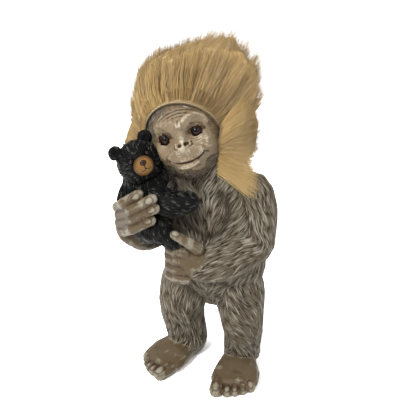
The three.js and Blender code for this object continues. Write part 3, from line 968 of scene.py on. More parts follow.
@dataclass
class Studio:
    """A pale floor, soft lamps and the camera, which looks down at the figure from its left front."""

    azimuth: float = 27
    elevation: float = 24
    away: float = 1.0
    right: float = -15 * MM
    up: float = 33 * MM
    aim_height: float = 150 * MM
    lens: float = 90
    sensor: float = 36
    shift: Vector = field(default_factory=Vector)
    clip: tuple[float, float] = (0.05, 30)
    room_light: float = 0.45
    floor_grey: float = 0.55
    floor_shown: float = 2.4
    floor_half: float = 6
    floor_drop: float = 0.2 * MM
    lamps: tuple[tuple[str, float, float, float, float, float], ...] = (
        ("key", -48, 58, 1.6, 1.1, 13),
        ("glint", 5, 40, 1.5, 0.36, 17),
        ("fill", 70, 30, 1.8, 1.2, 7),
    )

    def camera(self) -> None:
        """Places the scene's camera."""
        back = bearing(self.azimuth, self.elevation)
        across = Vector((0, 0, 1)).cross(back).normalized()
        over = back.cross(across)
        data = bpy.data.cameras.new("camera")
        data.lens, data.sensor_width = self.lens, self.sensor
        data.clip_start, data.clip_end = self.clip
        eye = shown(data, "camera")
        aim = Vector((0, 0, self.aim_height)) + self.shift
        place = aim + back * self.away + across * self.right + over * self.up
        eye.matrix_world = Matrix.Translation(place) @ Matrix((across, over, back)).transposed().to_4x4()
        bpy.context.scene.camera = eye

    def lamp(
        self, name: str, azimuth: float, elevation: float, away: float, size: float, watts: float,
    ) -> None:
        """Hangs a square soft lamp that faces the figure.

        Args:
            name: The lamp's name.
            azimuth: Its direction about the upright, in degrees from the front.
            elevation: Its height angle, in degrees.
            away: How far off it hangs, in metres.
            size: The length of its sides.
            watts: Its power.
        """
        data = bpy.data.lights.new(name, "AREA")
        data.size, data.energy = size, watts
        made = shown(data, name)
        back = bearing(azimuth, elevation)
        made.location = Vector((0, 0, self.aim_height)) + back * away
        made.rotation_euler = back.to_track_quat("Z", "Y").to_euler()

    def seen(self, tree: bpy.types.NodeTree) -> bpy.types.NodeSocket:
        """Tells the rays that show the background from the others.

        Args:
            tree: The node tree that asks.

        Returns:
            A socket with 1 for the rays that show the background and 0 for those that light the figure.
        """
        path = tree.nodes.new("ShaderNodeLightPath")
        total = path.outputs["Is Camera Ray"]
        for ray in ("Is Glossy Ray", "Is Transmission Ray"):
            add = tree.nodes.new("ShaderNodeMath")
            add.operation, add.use_clamp = "ADD", True
            tree.links.new(total, add.inputs[0])
            tree.links.new(path.outputs[ray], add.inputs[1])
            total = add.outputs[0]
        return total

    def split(
        self, tree: bpy.types.NodeTree, kind: str, output: str, value: str, lit: object, viewed: object,
    ) -> None:
        """Gives a surface or the world one shader that lights the figure and another that is seen.

        Args:
            tree: The node tree.
            kind: Blender's name of both shader nodes.
            output: The name of the tree's output node.
            value: The input that the two shaders differ in.
            lit: What it holds in the shader that lights the figure.
            viewed: What it holds in the shader that is seen.
        """
        mixed = tree.nodes.new("ShaderNodeMixShader")
        tree.links.new(self.seen(tree), mixed.inputs[0])
        for place, held in ((1, lit), (2, viewed)):
            shader = tree.nodes.new(kind)
            shader.inputs["Color"].default_value = (1, 1, 1, 1)
            shader.inputs[value].default_value = held
            tree.links.new(shader.outputs[0], mixed.inputs[place])
        tree.links.new(mixed.outputs[0], tree.nodes[output].inputs["Surface"])

    def world(self) -> None:
        """Fills in the light from all round, and shows white behind the figure."""
        made = bpy.data.worlds.new("room")
        made.use_nodes = True
        bpy.context.scene.world = made
        self.split(
            made.node_tree, "ShaderNodeBackground", "World Output", "Strength", self.room_light, 1.0,
        )

    def floor(self) -> None:
        """Lays a pale floor that keeps the figure's soft shadow."""
        mesh = bmesh.new()
        bmesh.ops.create_grid(mesh, x_segments=1, y_segments=1, size=self.floor_half)
        made = object_from(mesh, "floor")
        made.location.z = -self.floor_drop
        material = bpy.data.materials.new("pale_floor")
        material.use_nodes = True
        tree = material.node_tree
        tree.nodes.remove(tree.nodes["Principled BSDF"])
        greys = [(grey, grey, grey, 1) for grey in (self.floor_grey, self.floor_shown)]
        self.split(tree, "ShaderNodeBsdfDiffuse", "Material Output", "Color", *greys)
        made.data.materials.append(material)

    def build(self) -> None:
        """Sets up the camera, the floor and the lamps."""
        bpy.context.scene.view_settings.view_transform = "Standard"
        self.camera()
        self.world()
        self.floor()
        for name, *numbers in self.lamps:
            self.lamp(name, *numbers)


@dataclass
class Figure:
    """The standing figure in its carved coat."""

    layout: Layout
    voxel: float = 0.94 * MM
    grow: float = 0.45 * MM
    navel: float = 2
    breast: float = 11
    breast_from: float = 158
    breast_over: float = 12
    throat: float = -8
    throat_from: float = 200
    throat_over: float = 10
    sway: float = 0.42
    # Pale patches, each across, back, up, reach and share: painted highlight on the chest, the left arm and
    # the belly.
    highlight_patches: tuple[tuple[float, float, float, float, float], ...] = (
        (2, -34, 193, 15, 0.25), (48, -16, 160, 20, 0.1), (0, -36, 112, 14, 0.05),
    )
    hip_height: float = 102 * MM
    between_legs: float = -1 * MM
    left_side: float = 48 * MM
    right_side: float = -46 * MM
    samples: int = 12000

    def folds(self) -> list[Stroke]:
        """Lists the creases of the trunk's front; the pale number of each stroke here is how much painted
        shadow darkens its crease.

        Returns:
            The creases, across and up in millimetres.
        """
        return [
            Stroke(
                eased(((20, 206), (26, 196), (27.5, 184), (23, 171), (11, 164), (-8, 168))), 3.4, -1.2, 0.75,
            ),
            Stroke(eased(((-24, 206), (-10, 201), (6, 203), (18, 210))), 3.5, -0.8, 0.2),
            Stroke(eased(((-20, 118), (-6, 110), (8, 110), (22, 116))), 3.5, -0.8, 0.3),
        ]

    def flow(self, skin: Surface, labels: Array) -> Array:
        """The direction that the coat lies in at every point.

        Args:
            skin: The cast skin.
            labels: The number of the nearest coated node at every point.

        Returns:
            A direction of length 1 for each point.
        """
        p = self.layout.designed(skin.co)
        x, y, z = p.T
        down = np.tile((0.0, 0.0, -1.0), (len(p), 1))
        trunk = down.copy()
        chest = np.clip((z - self.breast_from) / self.breast_over, 0, 1)
        throat = np.clip((z - self.throat_from) / self.throat_over, 0, 1)
        aim = self.navel * (1 - chest) + (self.breast * (1 - throat) + self.throat * throat) * chest
        trunk[:, 0] = np.clip((aim - x) / 20, -1, 1) * np.where(y < 5, 0.9, -0.4)
        left_leg = down.copy()
        parting = 24 + 0.12 * (83 - z) + 3 * np.sin(z / 12)
        left_leg[:, 0] = 0.95 * np.tanh((x - parting) / 6) * (y < 8)
        right_leg = down.copy()
        right_leg[:, 0] = 0.35 * np.sin(z / 13 + x / 9)
        arm = down.copy()
        arm[:, 0] = 0.42 * np.sign(x)
        axis = 149 - 9 * np.clip((47 - x) / 36, 0, 1)
        left_fore = np.stack(
            (np.full(len(p), -0.62), np.full(len(p), -0.78), -0.15 - 0.95 * np.clip((axis - z) / 9, 0, 1)), 1,
        )
        right_fore = np.tile((0.1, -1.0, -0.1), (len(p), 1))
        table = {
            "torso": trunk, "left_leg": left_leg, "right_leg": right_leg, "left_upper_arm": arm,
            "right_upper_arm": arm, "left_forearm": left_fore, "right_forearm": right_fore,
        }
        way = down.copy()
        for number, name in enumerate(self.coated()):
            way[labels == number] = table[name][labels == number]
        return laid(skin, way, self.sway, 24)

    def coated(self) -> list[str]:
        """The CAD nodes that wear the carved coat."""
        return [
            "torso", "left_leg", "right_leg", "left_upper_arm", "right_upper_arm", "left_forearm",
            "right_forearm",
        ]

    def labels(self, skin: Surface) -> Array:
        """The number of the nearest coated node at every point.

        Args:
            skin: The cast skin.

        Returns:
            A place in the list of coated nodes for each point.
        """
        spots, owners = [], []
        rng = np.random.default_rng(5)
        for number, node in enumerate(self.coated()):
            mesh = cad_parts[node].data
            co = rows(mesh.vertices, "co", 3)
            mesh.calc_loop_triangles()
            a, b, c = (co[corner] for corner in rows(mesh.loop_triangles, "vertices", 3, np.int64).T)
            area = np.linalg.norm(np.cross(b - a, c - a), axis=1) / 2
            pick = rng.choice(len(a), self.samples, p=area / area.sum())
            u, v = rng.random((2, len(pick)))
            flip = u + v > 1
            u[flip], v[flip] = 1 - u[flip], 1 - v[flip]
            spots.append(a[pick] + (b - a)[pick] * u[:, None] + (c - a)[pick] * v[:, None])
            owners.append(np.full(len(pick), number))
        return np.concatenate(owners)[nearest(np.concatenate(spots), skin.co)]

    def shape(self, skin: Surface, labels: Array) -> tuple[Array, Array]:
        """Presses in the folds of the front and paints their shadow.

        Args:
            skin: The cast skin.
            labels: The number of the nearest coated node at every point.

        Returns:
            How much dark wash and painted shade, and how much pale brush and painted highlight each point
            takes.
        """
        p = self.layout.designed(skin.co)
        x, y, z = p.T
        front = np.clip((4 - y) / 10, 0, 1) * (labels == 0)
        push, dark_wash_and_shade = np.zeros(len(p)), np.zeros(len(p))
        for fold in self.folds():
            share = fold.strength(x, z) * front
            push += share * fold.push
            # Painted shadow in each crease, by the stroke's pale number.
            dark_wash_and_shade += share * fold.pale
        skin.push(skin.averaged(push, 6))
        pale = 0.08 * wander(skin.co, 9 * MM, 6)
        # Painted highlight on the chest, the left arm and the belly, over a random pale tone.
        for cx, cy, cz, reach, much in self.highlight_patches:
            pale += much * np.exp(-((x - cx) ** 2 + (y - cy) ** 2 + (z - cz) ** 2) / reach**2)
        # The large-scale hollows add painted shade under the arms, between the legs and in the creases, on
        # top of the crease shadows.
        return np.clip(dark_wash_and_shade + 0.5 * np.clip(skin.hollows(60, 2.5 * MM), 0, 1), 0, 0.85), pale

    def build(self) -> None:
        """Builds the furred body as five closed castings cut from one skin, with its carved strands."""
        skin = cast("coat", self.coated(), self.voxel, self.grow, 10)
        labels = self.labels(skin)
        dark_wash_and_shade, pale = self.shape(skin, labels)
        carve = 0.06 + 0.1 * wander(skin.co, 4 * MM, 3)
        skin.write(hollow=dark_wash_and_shade, carve=carve, tone=np.zeros(len(skin.co)))
        finishing = CarvedCoat(
            "brushed_coat", paint(42, 32, 20), paint(101, 91, 76), paint(158, 152, 138), paint(198, 186, 164),
        ).material()
        Locks("carved_hair").lay(
            skin, self.flow(skin, labels), np.ones(len(skin.co)), dark_wash_and_shade, pale, finishing, Material.RESIN,
            "figurine",
        )
        shift = self.layout.shift
        hips = Vector((0, 0, self.hip_height)) + shift
        middle, left, right = (
            Vector((x, 0, 0)) + shift for x in (self.between_legs, self.left_side, self.right_side)
        )
        up, x = Vector((0, 0, 1)), Vector((1, 0, 0))
        parts = {
            "carved_trunk": ([(hips, -up), (left, x), (right, -x)], ("torso",)),
            "carved_left_arm": ([(hips, -up), (left, -x)], ("left_upper_arm", "left_forearm")),
            "carved_right_arm": ([(hips, -up), (right, x)], ("right_upper_arm", "right_forearm")),
            "carved_left_leg": ([(hips, up), (middle, -x)], ("left_leg",)),
            "carved_right_leg": ([(hips, up), (middle, x)], ("right_leg",)),
        }
        for name, (planes, nodes) in parts.items():
            finish(sliced(skin.piece, name, planes), finishing, Material.RESIN, "figurine", *nodes)
        bpy.data.objects.remove(skin.piece)


@dataclass
class Limbs:
    """The bare hands and feet, with their nails, knuckle creases, and the brown wash and painted shade
    between the digits.
    """

    layout: Layout
    voxel: float = 0.78 * MM
    nail: tuple[float, float] = (3.6, 2.7)
    nail_reach: float = 8
    nail_rise: float = 0.3
    nail_sink: float = 0.45
    finger_lift: float = 4.6
    thumb_lift: float = 3.6
    toe: float = 5.6
    right_tips: tuple[Triple, ...] = (
        (-37, -85, 217.5), (-21, -88, 217.5), (-19, -87, 208), (-24, -86, 194.5),
    )
    right_knuckle: Triple = (-62, -79, 183)
    left_thumb: tuple[Triple, ...] = ((5, -69, 171.5), (-6, -74, 178.5))
    foot_at: tuple[tuple[float, float], ...] = ((-33, 2), (29, 2))
    foot_turn: float = 18
    toes: tuple[Triple, ...] = (
        (-17.4, -54.2, 7.2), (-6.4, -53.4, 5.6), (1.1, -51.2, 5.4), (8.7, -47.9, 5.1), (16.2, -43.0, 4.8),
    )

    def nails(self, node: str) -> list[tuple[Array, Array, Array, float]]:
        """Finds the nails of a hand or foot.

        Args:
            node: The CAD node of the hand or foot.

        Returns:
            The centre, the direction along, the outward direction and the size of each nail.
        """
        sight = np.array((0.41, -0.81, 0.41))
        made = []
        if node == "right_hand":
            for tip in np.array(self.right_tips, float):
                along = unit(tip - np.array(self.right_knuckle))
                out = unit(sight - along * (sight @ along))
                made.append((tip + out * self.finger_lift - along * 0.5, along, out, 1.0))
        elif node == "left_hand":
            start, tip = np.array(self.left_thumb, float)
            along = unit(tip - start)
            out = np.array((0.1, -0.5, 0.86))
            out = unit(out - along * (out @ along))
            made.append((tip + out * self.thumb_lift, along, out, 0.9))
        else:
            side = 1 if node == "left_foot" else -1
            x0, y0 = self.foot_at[side > 0]
            turn = math.radians(side * self.foot_turn)
            for across, ahead, radius in self.toes:
                x, y = side * across, ahead
                over = x0 + x * math.cos(turn) - y * math.sin(turn)
                back = y0 + x * math.sin(turn) + y * math.cos(turn)
                spot = np.array((over, back, radius + 0.4))
                along = unit(np.array((math.sin(turn), -math.cos(turn), -0.55)))
                out = np.array((math.sin(turn) * 0.5, -math.cos(turn) * 0.5, 0.87))
                out = unit(out - along * (out @ along))
                made.append((spot + out * radius, along, out, radius / self.toe))
        return made

    def dress(self, node: str, finishing: bpy.types.Material) -> None:
        """Casts one hand or foot and works its skin.

        Args:
            node: The CAD node of the hand or foot.
            finishing: The material of bare skin.
        """
        skin = cast("bare_" + node, [node], self.voxel, 0.3 * MM, 6)
        normal = skin.normals()
        p = self.layout.designed(skin.co)
        push, dark_wash_and_shade, pale = np.zeros(len(p)), np.zeros(len(p)), np.zeros(len(p))
        for centre, along, out, size in self.nails(node):
            away = p - centre
            u, v = away @ along / (self.nail[0] * size), away @ np.cross(out, along) / (self.nail[1] * size)
            ring = (np.abs(u) ** 2.6 + np.abs(v) ** 2.6) ** (1 / 2.6)
            near = np.clip(normal @ out * 2, 0, 1) * (np.linalg.norm(away, axis=1) < self.nail_reach)
            plate = np.clip((1.08 - ring) / 0.25, 0, 1) * near
            rim = np.exp(-(((ring - 1.2) / 0.2) ** 2)) * near
            push += self.nail_rise * plate - self.nail_sink * rim
            # The groove round each nail takes dark wash and painted shade.
            dark_wash_and_shade += 0.75 * rim
            pale += 0.14 * plate
        # Large-scale hollows: brown wash and painted shade between the digits and in the creases.
        fine = skin.hollows(60, 1.6 * MM)
        wrinkle = wander(p * np.array((1.0, 1.0, 0.45)), 1.7, 5)
        skin.push(push + 0.1 * wrinkle * (dark_wash_and_shade < 0.3))
        skin.write(
            hollow=np.clip(dark_wash_and_shade + np.clip(fine, 0, 1), 0, 0.95),
            carve=0.5 + 0.16 * wrinkle + 0.3 * wander(p, 8, 12) + pale - 0.65 * fine,
            tone=0.6 * wander(p, 7, 3),
        )
        finish(skin.piece, finishing, Material.SKIN, "figurine", node)

    def build(self) -> None:
        """Builds both hands and both feet."""
        bare = CarvedCoat(
            "bare_skin", paint(52, 35, 17), paint(88, 75, 55), paint(144, 137, 120), paint(206, 186, 156),
            0.5, 0.2, 0.06,
        ).material()
        for node in ("left_hand", "right_hand", "left_foot", "right_foot"):
            self.dress(node, bare)


def bead(
    name: str, place: Matrix, half: Sequence[float], look: Vector, pole: Vector, faces: tuple[int, int],
    finishing: bpy.types.Material, node: str,
) -> None:
    """Sets a glossy bead that carries the attribute iris.

    Args:
        name: The piece's name.
        place: The frame that its centre stands in.
        half: Its half sizes, in millimetres.
        look: The direction in that frame that the iris faces.
        pole: The direction in which its rings of faces close.
        faces: How many faces go round it, and how many rings there are.
        finishing: Its material.
        node: The CAD node that it stands for.
    """
    mesh = bmesh.new()
    bmesh.ops.create_uvsphere(mesh, u_segments=faces[0], v_segments=faces[1], radius=1)
    turn = Vector((0, 0, 1)).rotation_difference(pole).to_matrix()
    bmesh.ops.rotate(mesh, verts=mesh.verts, matrix=turn)
    iris = [vertex.co.angle(look) / (math.pi / 2) for vertex in mesh.verts]
    bmesh.ops.scale(mesh, vec=half, verts=mesh.verts)
    bmesh.ops.transform(mesh, matrix=place @ Matrix.Scale(MM, 4), verts=mesh.verts)
    piece = object_from(mesh, name)
    store(piece.data, "iris", iris)
    finish(piece, finishing, Material.EYE, "figurine", node)


@dataclass
class Head:
    """The head: a bare ape face with its folds, and the carved crown under the wig."""

    layout: Layout
    voxel: float = 0.64 * MM
    eye_radius: float = 6.1
    eye_across: float = 14.8
    lid_across: float = 14.4
    lid_half: Triple = (6.6, 4.1, 3.5)
    lid: float = 6.9
    eye_back: float = -28.9
    eye_up: float = 2.4
    raised: float = 2.4
    gaze: Triple = (0.05, -1.0, 0.12)
    eye_faces: tuple[int, int] = (48, 32)
    mouth: Line = (
        (-15.2, -20.2), (-12.3, -22.5), (-7.8, -24.2), (-0.8, -24.9), (5.1, -25), (11.2, -24.1),
        (15.1, -22.6), (18.4, -20.4),
    )

    def forms(self) -> list[Stroke]:
        """Lists the broad forms: brows, sockets, nose, muzzle, lips, cheeks and chin.

        Returns:
            The strokes, in the order in which they are drawn.
        """
        return [
            Stroke(
                eased(((-22, 9), (-20, 12.5), (-15.5, 14.6), (-9, 14.6), (-3, 12.4), (0.5, 8.6))), 3.0, 1.7,
                0.18,
            ),
            Stroke(
                eased(
                    ((3.2, 8.4), (5.8, 11.6), (10, 14.1), (15.3, 15.2), (20.4, 13.9), (24.3, 10.3), (26, 5.5))
                ),
                2.3, 2.3, 0.4,
            ),
            Stroke(((-14.6, 2.0), (-9.0, 1.0)), 6.0, -1.0, -0.22),
            Stroke(((9.5, 2.0), (15.0, 2.4)), 6.0, -1.0, -0.22),
            Stroke(((1.5, 8), (1.6, 3), (1.6, -2)), 3.4, 0.9, 0.05),
            Stroke(((1.7, -2.5), (1.8, -5.6)), 3.0, 2.2, 0.2),
            Stroke(((-3.9, -7.2), (-3.4, -8.6)), 2.1, 1.5, 0.25),
            Stroke(((7.3, -7.4), (6.9, -8.8)), 2.1, 1.5, 0.25),
            Stroke(eased(((-13, -15.5), (-7, -13.4), (1, -12.9), (9, -13.6), (15, -15.8))), 4.8, 2.6, 0.22),
            Stroke(eased(((-12, -20.6), (-6, -21.4), (1.5, -21.6), (9, -21.2), (15, -19.4))), 2.8, 1.1, 0.2),
            Stroke(eased(((-8, -27.6), (-3, -28.6), (3, -28.6), (9, -27.2))), 2.5, 1.3, 0.3),
            Stroke(((-4, -33), (6, -33)), 4.5, 0.8, 0.1),
            Stroke(eased(((-19, -5.5), (-22, -9.5), (-21.5, -14.5))), 4.5, 1.2, 0.25),
            Stroke(eased(((17, -7), (22.5, -9.5), (24, -15))), 5.0, 1.6, 0.3),
            Stroke(eased(((14, 7.6), (18.6, 7.2), (22.2, 4.6), (23, 1))), 1.7, -1.0, -0.35),
        ]

    def lines(self) -> list[Stroke]:
        """Lists the drawn lines: mouth, nostrils, folds, lids and wrinkles.

        Returns:
            The strokes, in the order in which they are drawn.
        """
        strokes = [
            Stroke(eased(self.mouth), 0.75, -2.4, -0.9),
            Stroke(((-15.6, -19.2), (-16.6, -21.2)), 0.9, -0.9, -0.35),
            Stroke(((18.6, -19.2), (20.0, -21.4)), 0.9, -0.9, -0.35),
            Stroke(((-2.6, -7.6), (-1.0, -7.8)), 1.35, -3.2, -1.4),
            Stroke(((4.7, -7.9), (6.2, -7.6)), 1.35, -3.2, -1.4),
            Stroke(((1.7, -8.0), (1.8, -10.5)), 0.9, 0.7, 0.35),
            Stroke(eased(((-6.4, -7.0), (-7.0, -9.8), (-4.6, -11.0))), 0.8, -0.8, -0.35),
            Stroke(eased(((9.6, -7.0), (10.2, -9.8), (7.6, -11.0))), 0.8, -0.8, -0.35),
            Stroke(eased(((-8.2, -9.2), (-12.2, -11.4), (-16.4, -15.2), (-18.8, -20.6))), 1.2, -0.7, -0.2),
            Stroke(eased(((10.8, -9.6), (15.6, -12.2), (19.8, -16.2), (21.2, -21.6))), 1.2, -0.6, -0.15),
            Stroke(eased(((-9.5, -25.6), (-3, -26.4), (4, -26.4), (12, -25.2))), 0.7, -0.4, -0.2),
            Stroke(eased(((-9, -31), (-3, -31.8), (4, -31.8), (10, -30.6))), 1.1, -0.7, -0.3),
        ]
        for side, outer in ((-1, -20.6), (1, 21.6)):
            middle = side * self.lid_across
            for depth, fall in ((0.0, -3.6), (1.9, -5.6), (3.8, -7.8)):
                inner, outside = middle - 6.2 - depth * 0.3, middle + 6.4 + depth * 0.3
                crease = (
                    (inner, fall + 1.9), (middle - 3, fall - 0.1), (middle + 2.5, fall - 0.2),
                    (outside, fall + 2.2),
                )
                strokes.append(Stroke(eased(crease), 0.65, -0.55, -0.3, True))
                fold = (
                    (middle - 6.0, fall + 1.0), (middle - 3, fall - 1.1), (middle + 2.5, fall - 1.2),
                    (middle + 6.2, fall + 1.2),
                )
                strokes.append(Stroke(eased(fold), 0.7, 0.35, 0.25, True))
            for turn in (20, 2, -16, -34, -52):
                way = Vector((math.cos(math.radians(turn)) * side, math.sin(math.radians(turn))))
                start = Vector((outer, 1.2)) + way * 1.2
                strokes.append(Stroke((tuple(start), tuple(start + way * 6.5)), 0.6, -0.5, -0.25, True))
        for number in range(9):
            across = -20 + number * 2.3
            hair = ((across, 11.2 + 0.25 * number), (across - 0.6 + 0.1 * number, 18.2 + 0.1 * number))
            height, pale = (0.55, 0.45) if number % 2 else (-0.55, -0.35)
            strokes.append(Stroke(hair, 0.55, height, pale, True))
        for number, across in enumerate((-1.6, 0.2, 2.0, 3.8, 5.6)):
            height, pale = (0.6, 0.25) if number % 2 else (-0.7, -0.45)
            strokes.append(Stroke(((across - 0.4, 6.5), (across, 14.5)), 0.6, height, pale, True))
        for radius, deep in ((0.80, 0.75), (0.89, 0.6), (0.71, 0.45)):
            arc = [
                (2 + 33 * radius * math.cos(a), -4 + 30 * radius * math.sin(a))
                for a in np.radians(range(38, 146, 12))
            ]
            strokes.append(Stroke(tuple(arc), 0.65, -deep, -0.5 * deep, True))
            strokes.append(Stroke(tuple((x, z - 1.2) for x, z in arc), 0.7, 0.4 * deep, 0.4 * deep, True))
        rng = np.random.default_rng(21)
        for _ in range(26):
            side = -1 if rng.random() < 0.4 else 1
            x, z = side * rng.uniform(17, 27), rng.uniform(-18, -4)
            tilt = rng.uniform(-0.5, 0.3) * side
            mark = ((x - 2.6, z - 2.6 * tilt), (x, z + 0.3), (x + 2.6, z + 2.6 * tilt))
            strokes.append(Stroke(mark, 0.55, rng.choice((-0.35, 0.4)), rng.uniform(0.1, 0.4), True))
        for _ in range(22):
            x, z = rng.uniform(-12, 14), rng.uniform(-20, -12)
            mark = ((x, z + 1.8), (x + rng.uniform(-0.8, 0.8), z - 1.8))
            strokes.append(Stroke(mark, 0.5, rng.choice((-0.25, 0.25)), rng.uniform(-0.1, 0.3), True))
        return strokes

    def almond(self, side: int, across: Array, up: Array) -> Array:
        """How far each point lies outside an eye's opening.

        Args:
            side: -1 for the right eye, 1 for the left.
            across: How far across each point lies.
            up: How far up each point lies.

        Returns:
            A number for each point: below 0 inside the opening, about 1 a lid's width away.
        """
        x = (across - side * self.lid_across) * side
        z = up - self.eye_up - 0.5 + 0.12 * x
        wide, above, below = self.lid_half
        return np.hypot(x / wide, z / np.where(z > 0, above, below)) - 1

    def sculpt(self, skin: Surface) -> None:
        """Draws the face into the cast head.

        Args:
            skin: The cast head.
        """
        placed = np.array(self.layout.head)
        front = np.clip((-local(skin.co, self.layout.head)[:, 1] - 6) / 10, 0, 1)
        pale = np.zeros(len(front))
        for group in (self.forms(), self.lines()):
            q = local(skin.co, self.layout.head)
            x, _, z = q.T
            push = np.zeros(len(q))
            for stroke in group:
                share = stroke.strength(x, z - self.raised) * front
                much = 0.5 if stroke.taper else 1.0
                push += share * stroke.push * much
                pale += share * stroke.pale * much
            skin.push(push)
        streaks = np.where(
            z > self.raised - 9, wander(q * (0.5, 1, 1.7), 1.5, 8), wander(q * (1.7, 1, 0.5), 1.5, 9),
        )
        pale = skin.averaged(pale, 7) * (0.8 + 0.5 * wander(skin.co, 1.5 * MM, 7)) + 0.26 * streaks
        pale -= 0.3 * np.clip((z - 14) / 8, 0, 1) + 0.35 * np.clip((np.abs(x - 2) - 22) / 6, 0, 1)
        q = local(skin.co, self.layout.head)
        for side in (-1, 1):
            centre = np.array((side * self.eye_across, self.eye_back, self.eye_up))
            away = q - centre
            reach = np.linalg.norm(away, axis=1)
            opening = self.almond(side, q[:, 0], q[:, 2])
            near = (reach < 12) & (q[:, 1] < -20)
            shell = self.lid + 0.5 * np.exp(-((opening - 0.12) ** 2) / 0.02)
            target = np.where(
                opening < 0, self.eye_radius - 1.4,
                np.maximum(reach, shell * np.exp(-np.clip(opening - 0.6, 0, 9) * 0.5)),
            )
            scale = np.where(near, target / np.maximum(reach, 1e-6), 1)
            q = centre + away * scale[:, None]
            pale += np.where(near & (opening < 0.05), -1.6, 0)
            pale += near * np.exp(-((opening - 0.28) ** 2) / 0.02) * np.where(q[:, 2] > 1.5, -0.4, 0.15)
        skin.co = q * MM @ placed[:3, :3].T + placed[:3, 3]
        skin.save()
        rim = np.clip(1.3 - np.hypot((x - 2) / 33, (z + 4) / 33), 0, 1)
        carve = 0.48 - 0.26 * skin.hollows(5, 0.2 * MM) - 0.16 * skin.hollows(25, 1.0 * MM)
        shade = 0.4 * (1 - np.clip(rim * 2.2, 0, 1)) * front
        # Dark wash and painted shade in the face's hollows, and painted shade towards the face's edge.
        skin.write(
            carve=np.clip(carve + 0.7 * pale * front, -0.4, 1.1), tone=np.zeros(len(q)),
            hollow=np.clip(skin.hollows(40, 2.2 * MM), 0, 1) * 0.5 + shade,
        )

    def build(self) -> None:
        """Casts the head, sculpts the face and sets the eyes."""
        skin = cast("face_and_crown", ["head"], self.voxel, 0.2 * MM, 8)
        self.sculpt(skin)
        bare = CarvedCoat(
            "face_skin", paint(56, 40, 24), paint(130, 115, 93), paint(178, 169, 149), paint(214, 196, 168),
            0.5, 0.2, 0.4,
        ).material()
        x, y, z = local(skin.co, self.layout.head).T
        wide, tall = np.where(x > 2, 33, 30), np.where(z < -3, 28, 34)
        face = np.hypot((x - 2) / wide, (z + 3) / tall) - 0.1 * np.sin(np.arctan2(z + 3, x) * 9)
        share = np.clip(((face > 1) | (y > -4)) & (z < 34), 0, 1).astype(float)
        away = np.stack((0.5 * (x - 2) / 30, np.full(len(x), 0.5), np.full(len(x), -1.0)), 1)
        away = away @ np.array(self.layout.head)[:3, :3].T
        hair = CarvedCoat(
            "jaw_hair", paint(42, 33, 22), paint(100, 90, 76), paint(164, 158, 144), paint(196, 184, 162),
        ).material()
        locks = Locks("jaw_hair", 8 * MM, 0.66 * MM, 1.0 * MM, 0.15 * MM, knots=5, seed=9)
        flow = laid(skin, away, 0.5, 4)
        locks.lay(skin, flow, share, 0.3 * share, 0.0 * share, hair, Material.RESIN, "figurine")
        finish(skin.piece, bare, Material.SKIN, "figurine", "head")
        gloss = Gloss("wet_eye", paint(16, 7, 3), paint(38, 15, 8), 0.03).material()
        for side, name in ((-1, "right_eye"), (1, "left_eye")):
            centre = Vector((side * self.eye_across, self.eye_back, self.eye_up)) * MM
            place = self.layout.head @ Matrix.Translation(centre)
            look = Vector(self.gaze).normalized()
            half = (self.eye_radius,) * 3
            bead("glossy_" + name, place, half, look, look, self.eye_faces, gloss, name)


